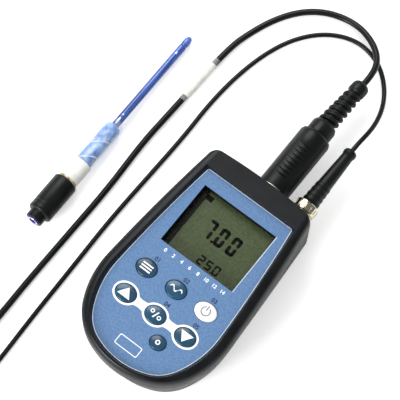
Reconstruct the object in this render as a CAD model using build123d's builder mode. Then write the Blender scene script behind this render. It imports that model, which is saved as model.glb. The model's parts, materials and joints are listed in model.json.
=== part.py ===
from build123d import *
import os
from dataclasses import astuple, dataclass, replace
from math import atan2, cos, degrees, hypot, pi, radians, sin, tan

# A hand-held pH meter with its two leads and its electrode, in millimetres.
# The meter lies on its back: X to its right, Y to its connector end, Z up to its keys.
# The origin is the middle of the back face, on the table.

os.makedirs("parts", exist_ok=True)


@dataclass(frozen=True)
class Outline:
    """A closed outline of the case: straight-ish sides, a wide belly and a round lower end."""

    toe_half: float  # half the width of the flattest arc at the lower end
    toe_rise: float  # how far that arc climbs
    end_y: float  # lowest point
    hip_half: float  # half width where the lower end turns into the side
    hip_rise: float
    belly_half: float  # half width at the belly
    belly_y: float
    shoulder_half: float  # half width at the connector end
    top_y: float
    crown: float  # how far the connector end bulges
    corner: float  # radius of the two shoulder corners


# Case sizes
WIDE = Outline(20.0, 3.8, -71.0, 39.0, 21.3, 45.0, -20.0, 36.2, 71.0, 2.0, 6.0)
BACK = Outline(19.25, 3.8, -65.0, 34.5, 18.0, 40.5, -18.5, 35.45, 70.6, 1.85, 5.25)
CREST = Outline(18.6, 3.7, -68.6, 32.0, 15.4, 39.8, -20.0, 33.0, 70.0, 1.2, 4.0)
PLATE = Outline(18.0, 3.6, -66.2, 30.0, 14.3, 37.5, -20.0, 30.6, 56.9, 0.1, 1.2)
RIM_INSIDE = Outline(18.4, 3.7, -68.1, 31.5, 15.0, 39.3, -20.0, 32.4, 57.7, 0.1, 1.4)
WALL = 2.2
BACK_WALL = 2.4
PARTING_Z = 19.0
BAND_LOW_Z = 27.0
BAND_HIGH_Z = 33.0
CREST_Z = 38.0
FLANK_STEPS = 4
TONGUE_INSET = 1.3
TONGUE_HEIGHT = 1.4
TONGUE_GAP = 0.15

# Face plate, window and display
PLATE_Z = 35.0
PLATE_THICKNESS = 0.8
PLATE_GAP = 0.15
FACE_WALL = 2.4
WINDOW_Y = 26.6
WINDOW_WIDTH = 52.0
WINDOW_HEIGHT = 42.0
LENS_THICKNESS = 1.2
LENS_MARGIN = 2.5
GLASS_THICKNESS = 2.0
GLASS_MARGIN = 2.0
GLASS_Z = 27.5
FRAME_MARGIN = 4.0
MASK_WIDTH = 3.8
STRIP_WIDTH = 2.2

# Keys: a flanged cap that looks out of the plate and a pill that meets the board
KEY_COLUMN = 21.5
KEY_ROW_UPPER = -13.1
KEY_ROW_MIDDLE = -32.2
CAL_KEY_X = 11.3
CAL_KEY_Y = -44.4
KEY_WIDTH = 13.4
KEY_HEIGHT = 10.7
POWER_KEY_WIDTH = 14.2
POWER_KEY_HEIGHT = 11.1
CAL_KEY_WIDTH = 10.2
CAL_KEY_HEIGHT = 8.8
KEY_PROUD = 1.2
KEY_GAP = 0.3
KEY_FLANGE = 1.2
KEY_FLANGE_THICKNESS = 1.2
KEY_ROUND = 0.8
PILL_RADIUS = 2.5
KEY_TRAVEL = 0.9
PILL_GAP = 1.0
MAT_THICKNESS = 1.0
COLLAR_WALL = 0.9

# Circuit board
BOARD_Z = 22.0
BOARD_THICKNESS = 1.6
BOARD_HALF_LOW = 27.0
BOARD_HALF_HIGH = 29.6
BOARD_END_Y = -56.0
BOARD_STEP_Y = 2.0
BOARD_TOP_Y = 56.3
POST_RADIUS = 2.2
POSTS = [(20.0, 54.0), (24.0, -52.5)]
BOARD_SCREW_RADIUS = 1.0
BOARD_SCREW_HEAD = 1.9
BOARD_SCREW_HEAD_HEIGHT = 1.3
BOARD_SCREW_LENGTH = 6.0

# Screws that join the two case halves
SCREW_PLACES = [(30.9, 56.0), (33.6, -22.6)]
SCREW_RADIUS = 1.5
SCREW_HEAD_RADIUS = 2.75
SCREW_HEAD_HEIGHT = 2.4
SCREW_SEAT_Z = 13.0
SCREW_TOP_Z = 28.0
BOSS_RADIUS = 3.9
SCREW_GAP = 0.1

# Battery bay and cover
CELL_RADIUS = 7.25
CELL_LENGTH = 50.5
CELL_PITCH = 15.0
CELL_COUNT = 3
CELL_GAP = 0.3
CELL_NOSE_RADIUS = 2.75
CELL_NOSE = 1.0
BAY_WALL = 1.6
BAY_SIDE_GAP = 0.4
BAY_MIDDLE_Y = -22.7
SPRING_LENGTH = 2.6
CONTACT_THICKNESS = 0.5
CONTACT_HALF = 5.2
COVER_THICKNESS = 1.9
COVER_HALF = 25.2
COVER_TOP_Y = 8.0
COVER_GAP = 0.15
TONGUE_REACH = 1.0
TONGUE_THICKNESS = 0.9
LEDGE_THICKNESS = 1.5
LEDGE_MARGIN = 2.0
GRIP_COUNT = 5
GRIP_PITCH = 3.0
GRIP_LENGTH = 22.0
GRIP_DEPTH = 0.5
GRIP_MIDDLE_Y = -14.0

# Sockets in the end wall, on the parting line
SOCKET_Z = PARTING_Z
ROUND_X = 3.6
ROUND_SHELL_RADIUS = 7.8
ROUND_BORE_RADIUS = 6.9
ROUND_FLANGE_RADIUS = 10.2
ROUND_FLANGE_THICKNESS = 0.8
SOCKET_DEPTH = 13.2
PIN_RADIUS = 0.5
PIN_CIRCLE = 4.4
PIN_COUNT = 8
BAYONET_X = 25.7
JACK_RADIUS = 4.8
JACK_BORE_RADIUS = 4.15
JACK_REACH = 6.9
JACK_FLANGE_RADIUS = 7.0
JACK_FLANGE_THICKNESS = 1.6
JACK_FLANGE_SET = 0.4  # the end wall curves away from this socket
LUG_RADIUS = 0.9
LUG_REACH = 0.9
COLLAR_REACH = 1.4
COLLAR_THICKNESS = 1.6
FIT = 0.1

# Round plug of the temperature lead
PLUG_RADIUS = 10.2
PLUG_RING_LENGTH = 1.8
PLUG_BODY_LENGTH = 43.2
PLUG_GROOVES = 9
PLUG_GROOVE_PITCH = 2.9
PLUG_GROOVE_DEPTH = 1.1
PLUG_GROOVE_SHIFT = 2.4  # the grip is nearer the case than the middle
PLUG_COLLAR_RADIUS = 7.9
PLUG_COLLAR_LENGTH = 9.6
RELIEF_RADIUS = 6.4
RELIEF_END_RADIUS = 5.2
RELIEF_CORE_RADIUS = 4.2
RELIEF_RIBS = 6
RELIEF_PITCH = 4.3
CAP_RADIUS = 5.5
CAP_LENGTH = 8.6
RELIEF_TILT = (0.04, 0.994, -0.10)

# Bayonet plug of the electrode lead
RING_RADIUS = 7.25
RING_LENGTH = 6.2
RING_WALL = 2.35
BOOT_RADIUS = 5.45
BOOT_NECK_RADIUS = 3.7
BOOT_END_RADIUS = 4.25
BOOT_LENGTH = 41.9

# Leads
PROBE_CORD = 4.0
ELECTRODE_CORD = 2.9
TIE_THICKNESS = 0.8
TIE_WIDTH = 6.0

# Electrode: lengths run from its contact end
ELECTRODE_X = -97.8
ELECTRODE_Y = -25.2
HEAD_RADIUS = 7.75
HEAD_NECK_RADIUS = 5.4
HEAD_NECK_LENGTH = 5.8
HEAD_LENGTH = 31.5
TUBE_RADIUS = 6.0
TUBE_WALL = 0.9
TUBE_SHOULDER = 77.0
TUBE_END = TUBE_SHOULDER + 4.0
STEM_RADIUS = 2.45
STEM_WALL = 0.6
STEM_LENGTH = 142.5
TIP_LENGTH = 8.5
LABEL_LENGTH = 14.6
LABEL_THICKNESS = 0.3
INNER_TUBE_RADIUS = 3.6

# Temperature probe and screw plug, at the far ends of the leads
HANDLE_RADIUS = 4.5
HANDLE_LENGTH = 38.0
PROBE_RADIUS = 1.5
PROBE_LENGTH = 70.0
NUT_RADIUS = 8.0
NUT_LENGTH = 15.0
NUT_RIBS = 18
SCREW_BOOT_LENGTH = 24.0


def between(low, high, share):
    """The outline that lies a share of the way from one outline to another."""
    return Outline(*(a + (b - a) * share for a, b in zip(astuple(low), astuple(high))))


def grown(outline, margin):
    """The same shape, larger by a margin at its belly and by more at its ends, or smaller."""
    scale = 1 + margin / outline.belly_half
    middle = (outline.end_y + outline.top_y) / 2
    sizes = [size * scale for size in astuple(outline)]
    return replace(
        Outline(*sizes),
        end_y=middle + (outline.end_y - middle) * scale,
        belly_y=middle + (outline.belly_y - middle) * scale,
        top_y=middle + (outline.top_y - middle) * scale,
    )


def case_level(z):
    """The case's outer outline at a height below the vertical band."""
    return between(BACK, WIDE, z / BAND_LOW_Z)


def face_of(outline):
    """The flat face inside an outline."""
    toe = (outline.toe_half, outline.end_y + outline.toe_rise)
    hip = (outline.hip_half, outline.end_y + outline.hip_rise)
    belly = (outline.belly_half, outline.belly_y)
    shoulder = (outline.shoulder_half, outline.top_y - outline.crown)
    with BuildSketch() as sketch:
        with BuildLine():
            low = ThreePointArc((-toe[0], toe[1]), (0, outline.end_y), toe)
            heel = TangentArc(toe, hip, tangent=low % 1)
            flank = TangentArc(hip, belly, tangent=heel % 1)
            side = TangentArc(belly, shoulder, tangent=flank % 1)
            mirror([heel, flank, side], about=Plane.YZ)
            ThreePointArc(shoulder, (0, outline.top_y), (-shoulder[0], shoulder[1]))
        make_face()
        fillet(sketch.vertices().sort_by(Axis.Y)[-2:], radius=outline.corner)
    return sketch.sketch


def stack(levels):
    """A solid through outlines given with their heights."""
    with BuildPart() as solid:
        for z, outline in levels:
            with BuildSketch(Plane.XY.offset(z)):
                add(face_of(outline))
        loft(ruled=True)
    return solid.part


def slab(outline, low, high):
    """A straight-sided solid with an outline's shape between two heights."""
    with BuildPart() as solid:
        with BuildSketch(Plane.XY.offset(low)):
            add(face_of(outline))
        extrude(amount=high - low)
    return solid.part


def block(x, y, z):
    """A box given by its lowest and highest place along each axis."""
    with BuildPart() as solid:
        with Locations(((x[0] + x[1]) / 2, (y[0] + y[1]) / 2, (z[0] + z[1]) / 2)):
            Box(x[1] - x[0], y[1] - y[0], z[1] - z[0])
    return solid.part


def turned(profile, origin, along=(0, 1, 0)):
    """A piece turned about an axis, from (radius, distance) points of its section."""
    radial = Plane(origin=origin, z_dir=along).x_dir
    section = Plane(origin=origin, x_dir=radial, z_dir=radial.cross(Vector(along)))
    with BuildPart() as solid:
        with BuildSketch(section):
            with BuildLine():
                Polyline(*profile, close=True)
            make_face()
        revolve(axis=Axis(origin, along))
    return solid.part


def rod(radius, start, end, origin, along=(0, 1, 0)):
    """A plain round rod between two distances along an axis."""
    return turned([(0, start), (radius, start), (radius, end), (0, end)], origin, along)


def tube(outer, inner, start, end, origin, along=(0, 1, 0)):
    """A plain round tube between two distances along an axis."""
    profile = [(inner, start), (outer, start), (outer, end), (inner, end)]
    return turned(profile, origin, along)


def upright(radius, low, high, x, y):
    """A round post that stands between two heights."""
    return rod(radius, low, high, (x, y, 0), along=(0, 0, 1))


def save(piece, name):
    """Label a finished piece and write it to a file of its own."""
    piece.part.label = name
    export_step(piece.part, f"parts/{name}.step")


# Places that several pieces share
FACE_BOTTOM_Z = PLATE_Z - PLATE_THICKNESS - FACE_WALL
BOARD_TOP_Z = BOARD_Z + BOARD_THICKNESS
BAY_HALF = (CELL_COUNT - 1) / 2 * CELL_PITCH + CELL_RADIUS + BAY_SIDE_GAP
BAY_LENGTH = CELL_LENGTH + CELL_NOSE + SPRING_LENGTH + 2 * CONTACT_THICKNESS
BAY_LOW_Y = BAY_MIDDLE_Y - BAY_LENGTH / 2
BAY_HIGH_Y = BAY_MIDDLE_Y + BAY_LENGTH / 2
RECESS_DEPTH = COVER_THICKNESS + COVER_GAP
LEDGE_Z = RECESS_DEPTH + LEDGE_THICKNESS
CELL_Z = COVER_THICKNESS + CELL_GAP + CELL_RADIUS
BAY_ROOF_Z = CELL_Z + CELL_RADIUS + CELL_GAP
END_WALL_Y = WIDE.top_y
ROUND_AXIS = (ROUND_X, 0, SOCKET_Z)
BAYONET_AXIS = (BAYONET_X, 0, SOCKET_Z)
BOTH_SIDES = (-1, 1)


# Front housing: the upper case half, with the rim that stands up round the face plate
flank_levels = []
for step in range(1, FLANK_STEPS + 1):
    turn = radians(90 * step / FLANK_STEPS)
    height = BAND_HIGH_Z + (CREST_Z - BAND_HIGH_Z) * sin(turn)
    flank_levels.append((height, between(WIDE, CREST, 1 - cos(turn))))

with BuildPart() as front_housing:
    add(stack([(PARTING_Z, case_level(PARTING_Z)), (BAND_LOW_Z, WIDE), (BAND_HIGH_Z, WIDE)] + flank_levels))
    add(
        stack(
            [
                (PARTING_Z, grown(case_level(PARTING_Z), -WALL)),
                (BAND_LOW_Z, grown(WIDE, -WALL)),
                (FACE_BOTTOM_Z, grown(WIDE, -WALL)),
            ]
        ),
        mode=Mode.SUBTRACT,
    )
    rebate = grown(case_level(PARTING_Z), TONGUE_GAP - TONGUE_INSET)
    add(slab(rebate, PARTING_Z, PARTING_Z + TONGUE_HEIGHT + TONGUE_GAP), mode=Mode.SUBTRACT)
    bed = grown(PLATE, PLATE_GAP)
    add(
        stack([(PLATE_Z - PLATE_THICKNESS, bed), (PLATE_Z, bed), (CREST_Z + 0.01, RIM_INSIDE)]),
        mode=Mode.SUBTRACT,
    )
    # Pillars for the case screws and posts for the board, hung from the face wall
    for x, y in SCREW_PLACES:
        for sign in BOTH_SIDES:
            add(upright(BOSS_RADIUS, PARTING_Z + SCREW_GAP, FACE_BOTTOM_Z + 0.5, sign * x, y))
            add(
                upright(SCREW_RADIUS + SCREW_GAP, PARTING_Z, SCREW_TOP_Z, sign * x, y),
                mode=Mode.SUBTRACT,
            )
    for x, y in POSTS:
        for sign in BOTH_SIDES:
            add(upright(POST_RADIUS, BOARD_TOP_Z, FACE_BOTTOM_Z + 0.5, sign * x, y))
            add(
                upright(
                    BOARD_SCREW_RADIUS + SCREW_GAP,
                    BOARD_TOP_Z,
                    BOARD_Z + BOARD_SCREW_LENGTH + SCREW_GAP,
                    sign * x,
                    y,
                ),
                mode=Mode.SUBTRACT,
            )
    # Window, holes for the keys and the two half-round socket holes
    add(
        block(
            (-WINDOW_WIDTH / 2, WINDOW_WIDTH / 2),
            (WINDOW_Y - WINDOW_HEIGHT / 2, WINDOW_Y + WINDOW_HEIGHT / 2),
            (FACE_BOTTOM_Z - 1, PLATE_Z),
        ),
        mode=Mode.SUBTRACT,
    )


@dataclass(frozen=True)
class Key:
    """One key's name, place and size across."""

    name: str
    x: float
    y: float
    width: float
    height: float


KEYS = [
    Key("data_key", -KEY_COLUMN, KEY_ROW_UPPER, KEY_WIDTH, KEY_HEIGHT),
    Key("measure_key", 0.0, KEY_ROW_UPPER, KEY_WIDTH, KEY_HEIGHT),
    Key("power_key", KEY_COLUMN, KEY_ROW_UPPER, POWER_KEY_WIDTH, POWER_KEY_HEIGHT),
    Key("up_key", -KEY_COLUMN, KEY_ROW_MIDDLE, KEY_WIDTH, KEY_HEIGHT),
    Key("unit_key", 0.0, KEY_ROW_MIDDLE, KEY_WIDTH, KEY_HEIGHT),
    Key("down_key", KEY_COLUMN, KEY_ROW_MIDDLE, KEY_WIDTH, KEY_HEIGHT),
    Key("cal_key", CAL_KEY_X, CAL_KEY_Y, CAL_KEY_WIDTH, CAL_KEY_HEIGHT),
]


def key_oval(key, grow, low, high):
    """An oval block round a key's middle, wider than the key by a margin all round."""
    with BuildPart() as solid:
        with BuildSketch(Plane((key.x, key.y, low))):
            Ellipse(key.width / 2 + grow, key.height / 2 + grow)
        extrude(amount=high - low)
    return solid.part


with front_housing:
    for key in KEYS:
        add(key_oval(key, KEY_GAP, FACE_BOTTOM_Z - 1, PLATE_Z), mode=Mode.SUBTRACT)
    for radius, origin in ((ROUND_SHELL_RADIUS, ROUND_AXIS), (JACK_RADIUS, BAYONET_AXIS)):
        add(rod(radius + FIT, END_WALL_Y - 3 * WALL, END_WALL_Y + 1, origin), mode=Mode.SUBTRACT)
save(front_housing, "front_housing")

# Rear housing: the lower case half, with the bay for the cells and its screw pillars
with BuildPart() as rear_housing:
    add(stack([(0, BACK), (PARTING_Z, case_level(PARTING_Z))]))
    add(
        stack(
            [
                (BACK_WALL, grown(case_level(BACK_WALL), -WALL)),
                (PARTING_Z, grown(case_level(PARTING_Z), -WALL)),
            ]
        ),
        mode=Mode.SUBTRACT,
    )
    with BuildSketch(Plane.XY.offset(PARTING_Z)):
        add(face_of(grown(case_level(PARTING_Z), -TONGUE_INSET)))
        add(face_of(grown(case_level(PARTING_Z), -WALL)), mode=Mode.SUBTRACT)
    extrude(amount=TONGUE_HEIGHT)
    # A raised floor carries the cover's ledge; the bay's walls and roof stand on it
    with BuildPart(mode=Mode.PRIVATE) as raised_floor:
        add(slab(grown(case_level(BACK_WALL), -WALL / 2), BACK_WALL / 2, LEDGE_Z))
        ledge_half = COVER_HALF + TONGUE_REACH + LEDGE_MARGIN
        add(
            block((-ledge_half, ledge_half), (BACK.end_y, COVER_TOP_Y + LEDGE_MARGIN), (0, LEDGE_Z)),
            mode=Mode.INTERSECT,
        )
    add(raised_floor.part)
    add(
        block(
            (-BAY_HALF - BAY_WALL, BAY_HALF + BAY_WALL),
            (BAY_LOW_Y - BAY_WALL, BAY_HIGH_Y + BAY_WALL),
            (BACK_WALL, BAY_ROOF_Z + BAY_WALL),
        )
    )
    add(
        block((-BAY_HALF, BAY_HALF), (BAY_LOW_Y, BAY_HIGH_Y), (-1, BAY_ROOF_Z)),
        mode=Mode.SUBTRACT,
    )
    # The cover's recess runs out through the lower end, with a groove for its tongues on each side
    recess_half = COVER_HALF + COVER_GAP
    past_end = BACK.end_y - 10
    add(
        block((-recess_half, recess_half), (past_end, COVER_TOP_Y + COVER_GAP), (-1, RECESS_DEPTH)),
        mode=Mode.SUBTRACT,
    )
    groove_half = recess_half + TONGUE_REACH
    groove_low = COVER_THICKNESS - TONGUE_THICKNESS - COVER_GAP
    add(
        block((-groove_half, groove_half), (past_end, COVER_TOP_Y - 3), (groove_low, RECESS_DEPTH)),
        mode=Mode.SUBTRACT,
    )
    for x, y in SCREW_PLACES:
        for sign in BOTH_SIDES:
            add(upright(BOSS_RADIUS, BACK_WALL / 2, PARTING_Z, sign * x, y))
            add(
                upright(SCREW_HEAD_RADIUS + SCREW_GAP, -1, SCREW_SEAT_Z, sign * x, y),
                mode=Mode.SUBTRACT,
            )
            add(
                upright(SCREW_RADIUS + SCREW_GAP, 0, PARTING_Z + 1, sign * x, y),
                mode=Mode.SUBTRACT,
            )
    for radius, origin in ((ROUND_SHELL_RADIUS, ROUND_AXIS), (JACK_RADIUS, BAYONET_AXIS)):
        add(rod(radius + FIT, END_WALL_Y - 3 * WALL, END_WALL_Y + 1, origin), mode=Mode.SUBTRACT)
save(rear_housing, "rear_housing")

# Battery cover: it slides off over the lower end, on a tongue at each side
with BuildPart() as battery_cover:
    add(stack([(0, BACK), (COVER_THICKNESS, case_level(COVER_THICKNESS))]))
    add(
        block((-COVER_HALF, COVER_HALF), (past_end, COVER_TOP_Y), (0, COVER_THICKNESS)),
        mode=Mode.INTERSECT,
    )
    tongue_low = BACK.end_y + BACK.hip_rise
    tongue_half = COVER_HALF + TONGUE_REACH
    add(
        block(
            (-tongue_half, tongue_half),
            (tongue_low, COVER_TOP_Y - 4),
            (COVER_THICKNESS - TONGUE_THICKNESS, COVER_THICKNESS),
        )
    )
    with Locations((0, GRIP_MIDDLE_Y, 0)):
        with GridLocations(0, GRIP_PITCH, 1, GRIP_COUNT):
            Box(GRIP_LENGTH, GRIP_PITCH / 2, 2 * GRIP_DEPTH, mode=Mode.SUBTRACT)
save(battery_cover, "battery_cover")

# Three round cells, laid side by side with their noses alternating
cell_low_y = BAY_LOW_Y + CONTACT_THICKNESS + SPRING_LENGTH
cell_high_y = BAY_HIGH_Y - CONTACT_THICKNESS - SPRING_LENGTH
for index in range(CELL_COUNT):
    cell_x = (index - (CELL_COUNT - 1) / 2) * CELL_PITCH
    nose_up = index % 2 == 0
    start_y = cell_low_y if nose_up else cell_high_y
    along = (0, 1, 0) if nose_up else (0, -1, 0)
    with BuildPart() as cell:
        add(
            turned(
                [
                    (0, 0),
                    (CELL_RADIUS - 0.6, 0),
                    (CELL_RADIUS, 0.6),
                    (CELL_RADIUS, CELL_LENGTH - 0.6),
                    (CELL_RADIUS - 0.6, CELL_LENGTH),
                    (CELL_NOSE_RADIUS, CELL_LENGTH),
                    (CELL_NOSE_RADIUS, CELL_LENGTH + CELL_NOSE),
                    (0, CELL_LENGTH + CELL_NOSE),
                ],
                (cell_x, start_y, CELL_Z),
                along=along,
            )
        )
    save(cell, f"battery_cell_{index + 1}")

# Contact plates at both ends of the bay, with a spring cone at each cell's flat end
with BuildPart() as battery_contacts:
    for index in range(CELL_COUNT):
        cell_x = (index - (CELL_COUNT - 1) / 2) * CELL_PITCH
        nose_up = index % 2 == 0
        for at_top in (False, True):
            wall_y = BAY_HIGH_Y if at_top else BAY_LOW_Y
            inward = -1 if at_top else 1
            plate_y = wall_y + inward * CONTACT_THICKNESS
            add(
                block(
                    (cell_x - CONTACT_HALF, cell_x + CONTACT_HALF),
                    (min(wall_y, plate_y), max(wall_y, plate_y)),
                    (CELL_Z - CONTACT_HALF, CELL_Z + CONTACT_HALF),
                )
            )
            if at_top != nose_up:
                add(
                    turned(
                        [(0, 0), (4.2, 0), (3.0, SPRING_LENGTH), (0, SPRING_LENGTH)],
                        (cell_x, plate_y, CELL_Z),
                        along=(0, inward, 0),
                    )
                )
save(battery_contacts, "battery_contacts")

# Screws: four that close the case, driven from the back, and four that hold the board
with BuildPart() as screws:
    for x, y in SCREW_PLACES:
        for sign in BOTH_SIDES:
            head_low_z = SCREW_SEAT_Z - SCREW_HEAD_HEIGHT
            add(upright(SCREW_HEAD_RADIUS, head_low_z, SCREW_SEAT_Z, sign * x, y))
            add(upright(SCREW_RADIUS, SCREW_SEAT_Z, SCREW_TOP_Z - 1, sign * x, y))
    for x, y in POSTS:
        for sign in BOTH_SIDES:
            add(upright(BOARD_SCREW_HEAD, BOARD_Z - BOARD_SCREW_HEAD_HEIGHT, BOARD_Z, sign * x, y))
            add(upright(BOARD_SCREW_RADIUS, BOARD_Z, BOARD_Z + BOARD_SCREW_LENGTH, sign * x, y))
save(screws, "screws")

# Circuit board, wider under the display than under the keys
with BuildPart() as circuit_board:
    add(
        block(
            (-BOARD_HALF_LOW, BOARD_HALF_LOW), (BOARD_END_Y, BOARD_STEP_Y), (BOARD_Z, BOARD_TOP_Z)
        )
    )
    add(
        block(
            (-BOARD_HALF_HIGH, BOARD_HALF_HIGH), (BOARD_STEP_Y, BOARD_TOP_Y), (BOARD_Z, BOARD_TOP_Z)
        )
    )
    for x, y in POSTS:
        for sign in BOTH_SIDES:
            add(
                upright(BOARD_SCREW_RADIUS + SCREW_GAP, BOARD_Z, BOARD_TOP_Z, sign * x, y),
                mode=Mode.SUBTRACT,
            )
    upper_x, upper_y = SCREW_PLACES[0]
    for sign in BOTH_SIDES:
        add(
            upright(BOSS_RADIUS + 3 * SCREW_GAP, BOARD_Z, BOARD_TOP_Z, sign * upper_x, upper_y),
            mode=Mode.SUBTRACT,
        )
save(circuit_board, "circuit_board")

# Chips and other components on the board's underside, clear of the bay's roof
COMPONENTS = [
    (-12.0, 30.0, 12.0, 12.0, 1.6),
    (8.0, 34.0, 8.0, 10.0, 1.8),
    (10.0, 18.0, 6.0, 5.0, 1.4),
    (-10.0, 12.0, 5.0, 5.0, 2.4),
    (22.0, 36.0, 6.0, 8.0, 2.4),
    (20.0, 14.0, 4.0, 8.0, 1.6),
]
with BuildPart() as board_components:
    for x, y, width, length, height in COMPONENTS:
        with Locations((x, y, BOARD_Z - height / 2)):
            Box(width, length, height)
save(board_components, "board_components")

# Display: glass in a frame on the board, fed by two rubber contact strips, under a clear lens
glass_half_x = WINDOW_WIDTH / 2 + GLASS_MARGIN
glass_half_y = WINDOW_HEIGHT / 2 + GLASS_MARGIN
frame_half_x = min(WINDOW_WIDTH / 2 + FRAME_MARGIN, BOARD_HALF_HIGH)
frame_half_y = WINDOW_HEIGHT / 2 + FRAME_MARGIN
glass_top_z = GLASS_Z + GLASS_THICKNESS
frame_top_z = FACE_BOTTOM_Z - LENS_THICKNESS

with BuildPart() as display_glass:
    add(
        block(
            (-glass_half_x, glass_half_x),
            (WINDOW_Y - glass_half_y, WINDOW_Y + glass_half_y),
            (GLASS_Z, glass_top_z),
        )
    )
save(display_glass, "display_glass")

with BuildPart() as display_frame:
    add(
        block(
            (-frame_half_x, frame_half_x),
            (WINDOW_Y - frame_half_y, WINDOW_Y + frame_half_y),
            (BOARD_TOP_Z, frame_top_z),
        )
    )
    add(
        block(
            (-glass_half_x - FIT, glass_half_x + FIT),
            (WINDOW_Y - glass_half_y - FIT, WINDOW_Y + glass_half_y + FIT),
            (BOARD_TOP_Z - 1, glass_top_z),
        ),
        mode=Mode.SUBTRACT,
    )
    add(
        block(
            (MASK_WIDTH - WINDOW_WIDTH / 2, WINDOW_WIDTH / 2),
            (WINDOW_Y - WINDOW_HEIGHT / 2, WINDOW_Y + WINDOW_HEIGHT / 2),
            (glass_top_z - 1, frame_top_z + 1),
        ),
        mode=Mode.SUBTRACT,
    )
save(display_frame, "display_frame")

with BuildPart() as contact_strips:
    for sign in BOTH_SIDES:
        strip_y = WINDOW_Y + sign * (glass_half_y - STRIP_WIDTH)
        add(
            block(
                (-glass_half_x + 3, glass_half_x - 3),
                (strip_y - STRIP_WIDTH / 2, strip_y + STRIP_WIDTH / 2),
                (BOARD_TOP_Z, GLASS_Z),
            )
        )
save(contact_strips, "contact_strips")

with BuildPart() as display_lens:
    add(
        block(
            (-WINDOW_WIDTH / 2 - LENS_MARGIN, WINDOW_WIDTH / 2 + LENS_MARGIN),
            (WINDOW_Y - WINDOW_HEIGHT / 2 - LENS_MARGIN, WINDOW_Y + WINDOW_HEIGHT / 2 + LENS_MARGIN),
            (frame_top_z, FACE_BOTTOM_Z),
        )
    )
save(display_lens, "display_lens")

# Face plate: a printed overlay in the rim's bed
with BuildPart() as face_plate:
    add(slab(PLATE, PLATE_Z - PLATE_THICKNESS, PLATE_Z))
    add(
        block(
            (-WINDOW_WIDTH / 2, WINDOW_WIDTH / 2),
            (WINDOW_Y - WINDOW_HEIGHT / 2, WINDOW_Y + WINDOW_HEIGHT / 2),
            (0, CREST_Z),
        ),
        mode=Mode.SUBTRACT,
    )
    for key in KEYS:
        add(key_oval(key, KEY_GAP, 0, CREST_Z), mode=Mode.SUBTRACT)
save(face_plate, "face_plate")

# Keys: cap, flange that stops against the face wall, and pill
flange_top_z = FACE_BOTTOM_Z - KEY_GAP
flange_low_z = flange_top_z - KEY_FLANGE_THICKNESS
for key in KEYS:
    with BuildPart() as cap:
        add(key_oval(key, 0, flange_low_z, PLATE_Z + KEY_PROUD))
        fillet(cap.faces().sort_by(Axis.Z)[-1].edges(), radius=KEY_ROUND)
        add(key_oval(key, KEY_FLANGE, flange_low_z, flange_top_z))
        add(upright(PILL_RADIUS, BOARD_TOP_Z + PILL_GAP, flange_low_z, key.x, key.y))
    save(cap, key.name)

# Key mat: a silicone sheet on the board with a well round each key
with BuildPart() as key_mat:
    mat_half = KEY_COLUMN + POWER_KEY_WIDTH / 2 + KEY_FLANGE
    add(
        block(
            (-BOARD_HALF_LOW, BOARD_HALF_LOW),
            (CAL_KEY_Y - KEY_HEIGHT / 2, KEY_ROW_UPPER + KEY_HEIGHT / 2 + KEY_FLANGE + COLLAR_WALL),
            (BOARD_TOP_Z, BOARD_TOP_Z + MAT_THICKNESS),
        )
    )
    for key in KEYS:
        add(key_oval(key, KEY_FLANGE + KEY_GAP + COLLAR_WALL, BOARD_TOP_Z, FACE_BOTTOM_Z))
    for key in KEYS:
        well = KEY_FLANGE + KEY_GAP
        add(key_oval(key, well, BOARD_TOP_Z + MAT_THICKNESS, CREST_Z), mode=Mode.SUBTRACT)
        add(upright(PILL_RADIUS + KEY_GAP, 0, CREST_Z, key.x, key.y), mode=Mode.SUBTRACT)
save(key_mat, "key_mat")

# Round multi-pin socket: a metal shell and an insert that holds the contacts.
# An outer flange and an inner collar trap the shell between the two case halves.
collar_y = END_WALL_Y - 2 * WALL - 0.4
socket_back_y = END_WALL_Y - SOCKET_DEPTH
flange_out_y = END_WALL_Y + ROUND_FLANGE_THICKNESS
insert_front_y = socket_back_y + 4.0
with BuildPart() as round_socket:
    add(
        turned(
            [
                (ROUND_BORE_RADIUS, socket_back_y),
                (ROUND_SHELL_RADIUS, socket_back_y),
                (ROUND_SHELL_RADIUS, collar_y - COLLAR_THICKNESS),
                (ROUND_SHELL_RADIUS + COLLAR_REACH, collar_y - COLLAR_THICKNESS),
                (ROUND_SHELL_RADIUS + COLLAR_REACH, collar_y),
                (ROUND_SHELL_RADIUS, collar_y),
                (ROUND_SHELL_RADIUS, END_WALL_Y),
                (ROUND_FLANGE_RADIUS, END_WALL_Y),
                (ROUND_FLANGE_RADIUS, flange_out_y),
                (ROUND_BORE_RADIUS, flange_out_y),
            ],
            ROUND_AXIS,
        )
    )
save(round_socket, "round_socket")


def pin_places():
    """The contacts' places round the round plug's axis."""
    spread = 262.0 / (PIN_COUNT - 1)
    for index in range(PIN_COUNT):
        angle = radians(-41.0 + spread * index)
        yield ROUND_X + PIN_CIRCLE * cos(angle), SOCKET_Z + PIN_CIRCLE * sin(angle)


with BuildPart() as socket_insert:
    add(rod(ROUND_BORE_RADIUS, socket_back_y, insert_front_y, ROUND_AXIS))
    for pin_x, pin_z in pin_places():
        add(
            rod(PIN_RADIUS + FIT, socket_back_y + 1, insert_front_y + 1, (pin_x, 0, pin_z)),
            mode=Mode.SUBTRACT,
        )
save(socket_insert, "socket_insert")

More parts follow.
